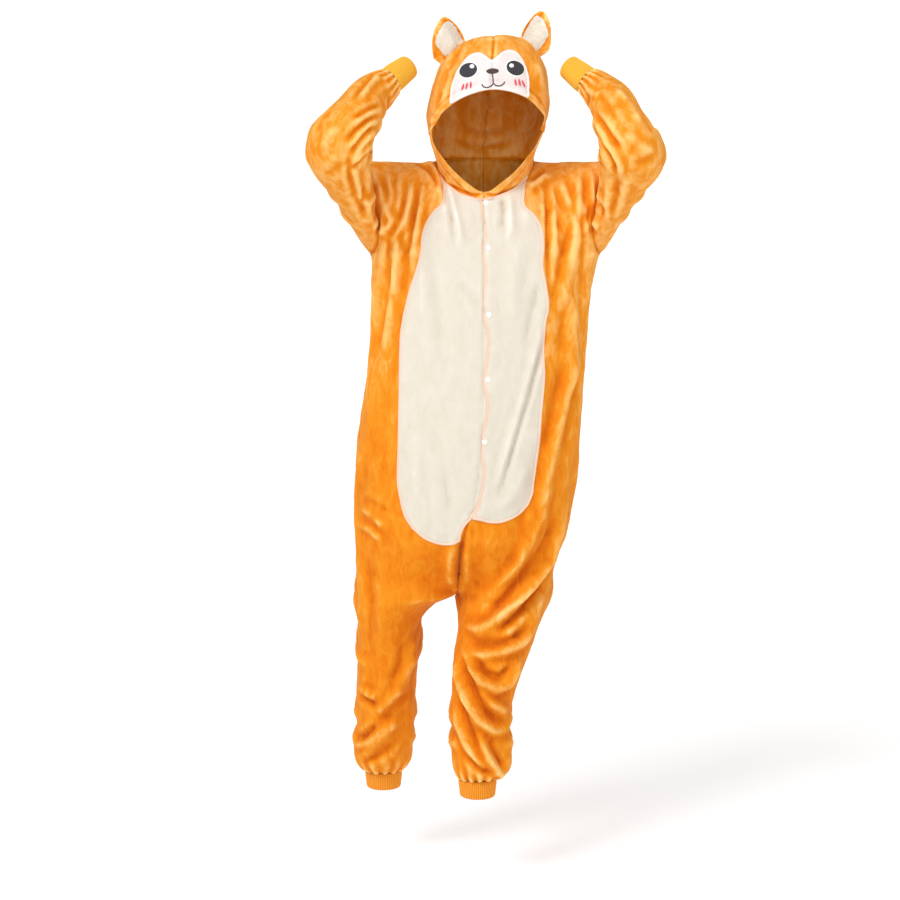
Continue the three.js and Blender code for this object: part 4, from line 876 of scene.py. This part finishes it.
def lay_down(spots, tree):
    """Points and normals where spots, as x and z, meet the front of the cloth or come closest to it."""
    places, normals = [], []
    for x, z in spots:
        at, normal, _, _ = tree.ray_cast(Vector((x, -1, z)), Vector((0, 1, 0)))
        if at is None or at.y > PAST_FRONT:
            at, normal, _, _ = tree.find_nearest(Vector((x, -0.1, z)))
        if normal.y > 0:
            normal = -normal
        places.append(at)
        normals.append(normal)
    return np.array(places), np.array(normals)


def neckline(side, inner, outer):
    """The upper edge of a half of the belly, an arc just under the neck seam."""
    line = []
    for x in np.linspace(inner, outer, 12):
        across = min(1, abs(x - NECKLINE["middle"]) / (NECKLINE["side"] - side * NECKLINE["middle"]))
        drop = (NECKLINE["middle_z"] - NECKLINE["side_z"]) * math.sqrt(1 - across ** 2)
        line.append((x, NECKLINE["side_z"] + drop))
    return line


def sewn_on(name, inner, outer, end, top, columns):
    """A patch between four lines, laid on the skin."""
    rows = NET["rows"]
    bpy.ops.object.select_all(action="DESELECT")
    bpy.ops.mesh.primitive_grid_add(x_subdivisions=columns - 1, y_subdivisions=rows - 1, size=1)
    piece = bpy.context.object
    piece.name = piece.data.name = name
    square = read_points(piece.data)[0] + 0.5
    column = np.rint(square[:, 0] * (columns - 1)).astype(int)
    row = np.rint(square[:, 1] * (rows - 1)).astype(int)
    u = closer_at_ends(columns, NET["wide"], NET["step_across"])
    v = closer_at_ends(rows, NET["tall"], NET["step_up"])
    s = u[column][:, None]
    t = v[row][:, None]
    ends = (1 - t) * along_line(end, u)[column] + t * along_line(top, u)[column]
    sides = (1 - s) * along_line(inner, v)[row] + s * along_line(outer, v)[row]
    lower_corners = np.array(end[0]) * (1 - s) * (1 - t) + np.array(end[-1]) * s * (1 - t)
    upper_corners = np.array(top[0]) * (1 - s) * t + np.array(top[-1]) * s * t
    spots = ends + sides - lower_corners - upper_corners
    move_points(piece.data, lay_down(spots, skin_tree)[0])
    if read_points(piece.data)[1][:, 1].sum() > 0:
        piece.data.flip_normals()
    return piece


def roll_edge(piece, lift):
    """Lifts a laid patch off the skin, with a rolled and stitched edge."""
    places, normals = read_points(piece.data)
    gap = gap_to(places, places[open_edge(piece.data)], BELLY_RIM["far"])
    rise = lift + BELLY_RIM["puff"] * np.exp(-((gap - BELLY_RIM["half"]) / BELLY_RIM["half"]) ** 2)
    rise -= BELLY_RIM["stitch"] * np.exp(-((gap - BELLY_RIM["at"]) / BELLY_RIM["stitch_half"]) ** 2)
    rise -= BELLY_RIM["tuck"] * np.clip(1 - gap / BELLY_RIM["tuck_wide"], 0, 1) ** 2
    move_points(piece.data, places + normals * rise[:, None])
    # A mask of the turned edge, on which the finish paints light.
    layer = piece.data.attributes.new("turned", "FLOAT", "POINT")
    layer.data.foreach_set("value", np.exp(-(gap / BELLY_RIM["at"]) ** 4))


def paint_edge_light(finish, colour):
    """Paints light on a turned edge: on the belly, painted orange light reflected from the cloth it is sewn
    on, and on the face, a painted paler highlight.
    """
    plain = finish.node_tree.nodes["Principled BSDF"].inputs["Base Color"].links[0].from_socket
    first = two_tones(finish, kept_value(finish, "turned"), colour, colour)
    finish.node_tree.links.new(plain, first)


# Cream tones from painted shade in the deepest hollows to a painted highlight on the sharpest crests, with
# the cloth's own colour between.
CREAM = [(0.50, 0.40, 0.30), (0.62, 0.565, 0.47), (0.665, 0.61, 0.52), (0.79, 0.735, 0.65)]
cream_plush = plush("cream_plush", CREAM, (1.0, 0.95, 0.88), 0.04)
# The belly's turned edge is painted with orange light reflected from the fronts it is sewn on.
paint_edge_light(cream_plush, (0.78, 0.53, 0.40))
under = [(x + LAP["under"], z) for x, z in PLACKET[2:]]
belly_right = sewn_on("belly_right_cloth", RIGHT_FOLD + under, RIGHT_EDGE, RIGHT_END,
                      neckline(-1, under[-1][0], RIGHT_EDGE[-1][0]), columns=56)
roll_edge(belly_right, BELLY_LIFT)
belly_left = sewn_on("belly_left_cloth", [LEFT_END[0]] + PLACKET[1:], LEFT_EDGE, LEFT_END,
                     neckline(1, PLACKET[-1][0], LEFT_EDGE[-1][0]), columns=46)
lap_gap = line_distance(read_points(belly_left.data)[0][:, [0, 2]], PLACKET)[0]
roll_edge(belly_left, BELLY_LIFT + LAP["rise"] * np.clip(1.6 * (1 - lap_gap / LAP["wide"]), 0, 1))
for piece, side in ((belly_right, "right"), (belly_left, "left")):
    keep_bend(piece.data)
    give_wall(piece, BELLY_CLOTH)
    dress(piece, f"belly_{side}", cream_plush)
    wide, tall, share = BELLY_CUT[side]

# ---- Snaps ----
# Five white plastic snap caps, 11 mm across, pressed through the lap of the placket: a rolled rim round a
# shallow dish with a small dimple. Each lies square to the cloth.

# Places are x and z, and the profile is radius and height in millimetres.
SNAP_SPOTS = [(0.000, -0.080), (0.005, -0.168), (0.006, -0.298), (0.004, -0.426), (-0.002, -0.550)]
SNAP_PROFILE = [(5.5, 0.0), (5.5, 0.7), (5.15, 1.5), (4.5, 1.95), (3.9, 1.75),
                (3.3, 1.3), (2.0, 1.2), (1.3, 1.15), (0.8, 0.8), (0.3, 0.7)]
SNAP_SINK = 0.0003
SNAP_POINTS = 40
UNDER_SNAP = (-0.004, 0, 0.004)
snap_plastic = new_finish("snap_plastic", {"Roughness": 0.32, "Coat Weight": 0.2})
two_tones(snap_plastic, grain(snap_plastic, {"Scale": 260}), (0.78, 0.75, 0.70), (0.90, 0.88, 0.84))
belly_tree = BVHTree.FromObject(belly_left, bpy.context.evaluated_depsgraph_get())
for number, (x, z) in enumerate(SNAP_SPOTS, start=1):
    snap = stack_rings(f"snap_{number}_cap", SNAP_POINTS, len(SNAP_PROFILE))
    bpy.ops.mesh.edge_face_add()
    bpy.ops.object.mode_set(mode="OBJECT")
    seats, directions = lay_down([(x + dx, z + dz) for dx in UNDER_SNAP for dz in UNDER_SNAP], belly_tree)
    seat = Vector(seats.mean(axis=0))
    square = Vector(directions.mean(axis=0)).to_track_quat("Z", "Y").to_matrix()
    for spot in snap.data.vertices:
        radius, up = SNAP_PROFILE[round(spot.co.z)]
        flat = Vector((spot.co.x, spot.co.y)).normalized() * radius / 1000
        spot.co = seat + square @ Vector((flat.x, flat.y, up / 1000 - SNAP_SINK))
    pick_points(snap, lambda at: True)
    bpy.ops.mesh.normals_make_consistent(inside=False)
    bpy.ops.object.mode_set(mode="OBJECT")
    bpy.ops.object.shade_smooth_by_angle(angle=math.radians(50))
    dress(snap, f"snap_{number}", snap_plastic)

# ---- Face ----
# One piece of cream plush with two round lobes at the top, turned under and sewn on the hood down to its rim,
# where a narrow edge is turned over and painted paler, a painted highlight on its roll.
FACE_CLOTH = 0.0012
FACE_LIFT = 0.0017
CLEFT = {"x": 0.010, "z": 0.207, "depth": 0.012, "half": 0.016, "reach": 0.035}
# Face tones from painted shade in the deepest hollows to a painted highlight on the sharpest crests, with the
# cloth's own colour between.
FACE = [(0.52, 0.42, 0.40), (0.70, 0.63, 0.615), (0.74, 0.67, 0.655), (0.84, 0.78, 0.765)]
face_plush = plush("face_plush", FACE, (1.0, 0.95, 0.92), 0)
# The face's turned edge is painted paler, a painted highlight on its roll.
paint_edge_light(face_plush, (0.84, 0.76, 0.72))
face = outer_side("face", FACE_CLOTH)
round_off(face)
places = read_points(face.data)[0]
notch = np.exp(-np.abs((places[:, 0] - CLEFT["x"]) / CLEFT["half"]) ** 1.3)
notch *= np.clip(1 - (CLEFT["z"] - places[:, 2]) / CLEFT["reach"], 0, 1)
places[:, 2] -= CLEFT["depth"] * notch
move_points(face.data, np.array([skin_tree.find_nearest(Vector(spot))[0] for spot in places]))
roll_edge(face, FACE_LIFT)
keep_bend(face.data)
give_wall(face, FACE_CLOTH)
dress(face, "face", face_plush)

# ---- Eyes, nose, mouth and cheeks ----
# The eyes are black felt ovals with a white stitched border and a white highlight, and the nose is a small
# brown oval. The mouth and three strokes on each cheek are raised satin stitch. Places are x and z.
EYES = {"eye_right": {"at": (-0.035, 0.1745), "tilt": 0.36, "light": (-0.0275, 0.1815)},
        "eye_left": {"at": (0.0555, 0.1785), "tilt": -0.36, "light": (0.0480, 0.1830)}}
# Half width and half height of each oval, how far it is lifted off the face, and how much it is crowned.
BORDER_OVAL = {"half": (0.0200, 0.0164), "lift": 0.0002, "crown": 0.0011}
EYE_OVAL = {"half": (0.0178, 0.0142), "lift": 0.0008, "crown": 0.0011}
LIGHT_OVAL = {"half": (0.0046, 0.0040), "lift": 0.0017, "crown": 0.0007}
NOSE_OVAL = {"half": (0.0122, 0.0052), "lift": 0.0004, "crown": 0.0018}
NOSE = {"at": (0.0115, 0.1725), "tilt": 0.05}
FELT = 0.0009
SATIN = {"mouth": 0.00115, "cheek": 0.0020, "lift": 0.0006}
LIP_LINES = [[(0.0115, 0.168), (0.0125, 0.158), (0.0130, 0.149)],
             [(-0.009, 0.147), (-0.006, 0.1425), (-0.001, 0.1405), (0.005, 0.1415), (0.010, 0.1450),
              (0.013, 0.149)],
             [(0.013, 0.149), (0.017, 0.1455), (0.023, 0.1440), (0.029, 0.1455), (0.033, 0.1485),
              (0.035, 0.1515)]]
CHEEK_LINES = [[(-0.0440, 0.148), (-0.0475, 0.136)], [(-0.0370, 0.150), (-0.0395, 0.138)],
               [(-0.0305, 0.152), (-0.0305, 0.140)], [(0.0550, 0.157), (0.0570, 0.145)],
               [(0.0625, 0.1575), (0.0650, 0.1445)], [(0.0685, 0.155), (0.0745, 0.143)]]
face_tree = BVHTree.FromObject(face, bpy.context.evaluated_depsgraph_get())


def felt(name, colour, fleck):
    """Pressed felt or satin stitch: short fibres in two close tones, matt."""
    made = new_finish(name, {"Roughness": 0.75, "Specular IOR Level": 0.25, "Sheen Weight": 0.15})
    fibres = grain(made, {"Scale": 650, "Detail": 4, "Distortion": 1.5})
    two_tones(made, fibres, colour, fleck)
    raise_grain(made, fibres, 0.3, 0.0005)
    return made


def oval(name, at, tilt, cut):
    """A cut oval with a rounded edge, laid on the face."""
    bpy.ops.object.select_all(action="DESELECT")
    bpy.ops.mesh.primitive_grid_add(x_subdivisions=24, y_subdivisions=24, size=2)
    piece = bpy.context.object
    piece.name = piece.data.name = name
    square = read_points(piece.data)[0]
    a = square[:, 0] * np.sqrt(1 - square[:, 1] ** 2 / 2)
    b = square[:, 1] * np.sqrt(1 - square[:, 0] ** 2 / 2)
    across = a * cut["half"][0]
    up = b * cut["half"][1]
    spots = np.stack([at[0] + across * math.cos(tilt) - up * math.sin(tilt),
                      at[1] + across * math.sin(tilt) + up * math.cos(tilt)], axis=1)
    places, normals = lay_down(spots, face_tree)
    rise = cut["lift"] + cut["crown"] * (1 - np.clip(a ** 2 + b ** 2, 0, 1) ** 4)
    move_points(piece.data, places + normals * rise[:, None])
    give_wall(piece, FELT)
    return piece


def satin_line(name, line, radius, tapered):
    """A raised line of satin stitch laid on the face through some points, thinner at its ends if tapered."""
    places, normals = lay_down(along_line(line, np.linspace(0, 1, max(9, 4 * len(line)))), face_tree)
    curve = bpy.data.curves.new(name, "CURVE")
    curve.dimensions = "3D"
    curve.bevel_depth = radius
    curve.bevel_resolution = 3
    curve.use_fill_caps = True
    run = curve.splines.new("POLY")
    run.points.add(len(places) - 1)
    for k, (place, normal) in enumerate(zip(places, normals)):
        run.points[k].co = (*(place + normal * SATIN["lift"]), 1)
        if tapered:
            run.points[k].radius = 0.55 + 0.45 * math.sin(math.pi * k / (len(places) - 1))
    thread = bpy.data.objects.new(name, curve)
    scene.collection.objects.link(thread)
    only(thread)
    bpy.ops.object.convert(target="MESH")
    bpy.ops.object.shade_smooth()
    return bpy.context.object


black_felt = felt("black_felt", (0.014, 0.014, 0.017), (0.055, 0.055, 0.065))
brown_felt = felt("brown_felt", (0.045, 0.024, 0.022), (0.10, 0.06, 0.055))
white_thread = felt("white_thread", (0.80, 0.79, 0.78), (0.94, 0.93, 0.92))
rose_thread = felt("rose_thread", (0.62, 0.035, 0.06), (0.74, 0.10, 0.13))
for node, eye in EYES.items():
    dress(oval(node + "_border", eye["at"], eye["tilt"], BORDER_OVAL), None, white_thread)
    dress(oval(node + "_felt", eye["at"], eye["tilt"], EYE_OVAL), node, black_felt)
    dress(oval(node + "_light", eye["light"], 0, LIGHT_OVAL), None, white_thread)
dress(oval("nose_felt", NOSE["at"], NOSE["tilt"], NOSE_OVAL), "nose", brown_felt)
for number, line in enumerate(LIP_LINES, start=1):
    thread = satin_line(f"mouth_thread_{number}", line, SATIN["mouth"], False)
    dress(thread, None, brown_felt)
for number, line in enumerate(CHEEK_LINES, start=1):
    thread = satin_line(f"cheek_thread_{number}", line, SATIN["cheek"], True)
    dress(thread, None, rose_thread)

# ---- Ears ----
# Two layers of plush turned right side out, orange behind and at the rim, with a cream inner side. They are
# cupped forwards, and their root is caught in the hood's seam.
EAR_SLACK = [(0.001, 0.02, 61), (0.0005, 0.006, 67)]
EAR_ROOT = {"reach": 0.011, "sunk": 0.001, "steep": 2.5}
for side in ("right", "left"):
    for node, finish, slot, flat in ((f"ear_{side}", orange_plush, "orange_plush", (0.085, 0.062)),
                                     (f"ear_inner_{side}", cream_plush, "cream_plush", (0.065, 0.048))):
        piece = free_copy(node)
        pick_points(piece, lambda at: True)
        bpy.ops.mesh.remove_doubles(threshold=SAME_POINT)
        bpy.ops.mesh.tris_convert_to_quads(face_threshold=math.radians(60), shape_threshold=math.radians(80))
        bpy.ops.object.mode_set(mode="OBJECT")
        round_off(piece)
        places, normals = read_points(piece.data)
        for k, spot in enumerate(places):
            at, normal, _, gap = skin_tree.find_nearest(Vector(spot))
            if gap < EAR_ROOT["reach"]:
                root = np.array(at - normal * EAR_ROOT["sunk"])
                places[k] += (root - spot) * min(1, EAR_ROOT["steep"] * (1 - gap / EAR_ROOT["reach"]))
        rise = sum(uneven(places, *bumps) for bumps in EAR_SLACK)
        move_points(piece.data, places + normals * rise[:, None])
        keep_bend(piece.data)
        only(piece)
        bpy.ops.object.shade_smooth()
        dress(piece, node, finish)
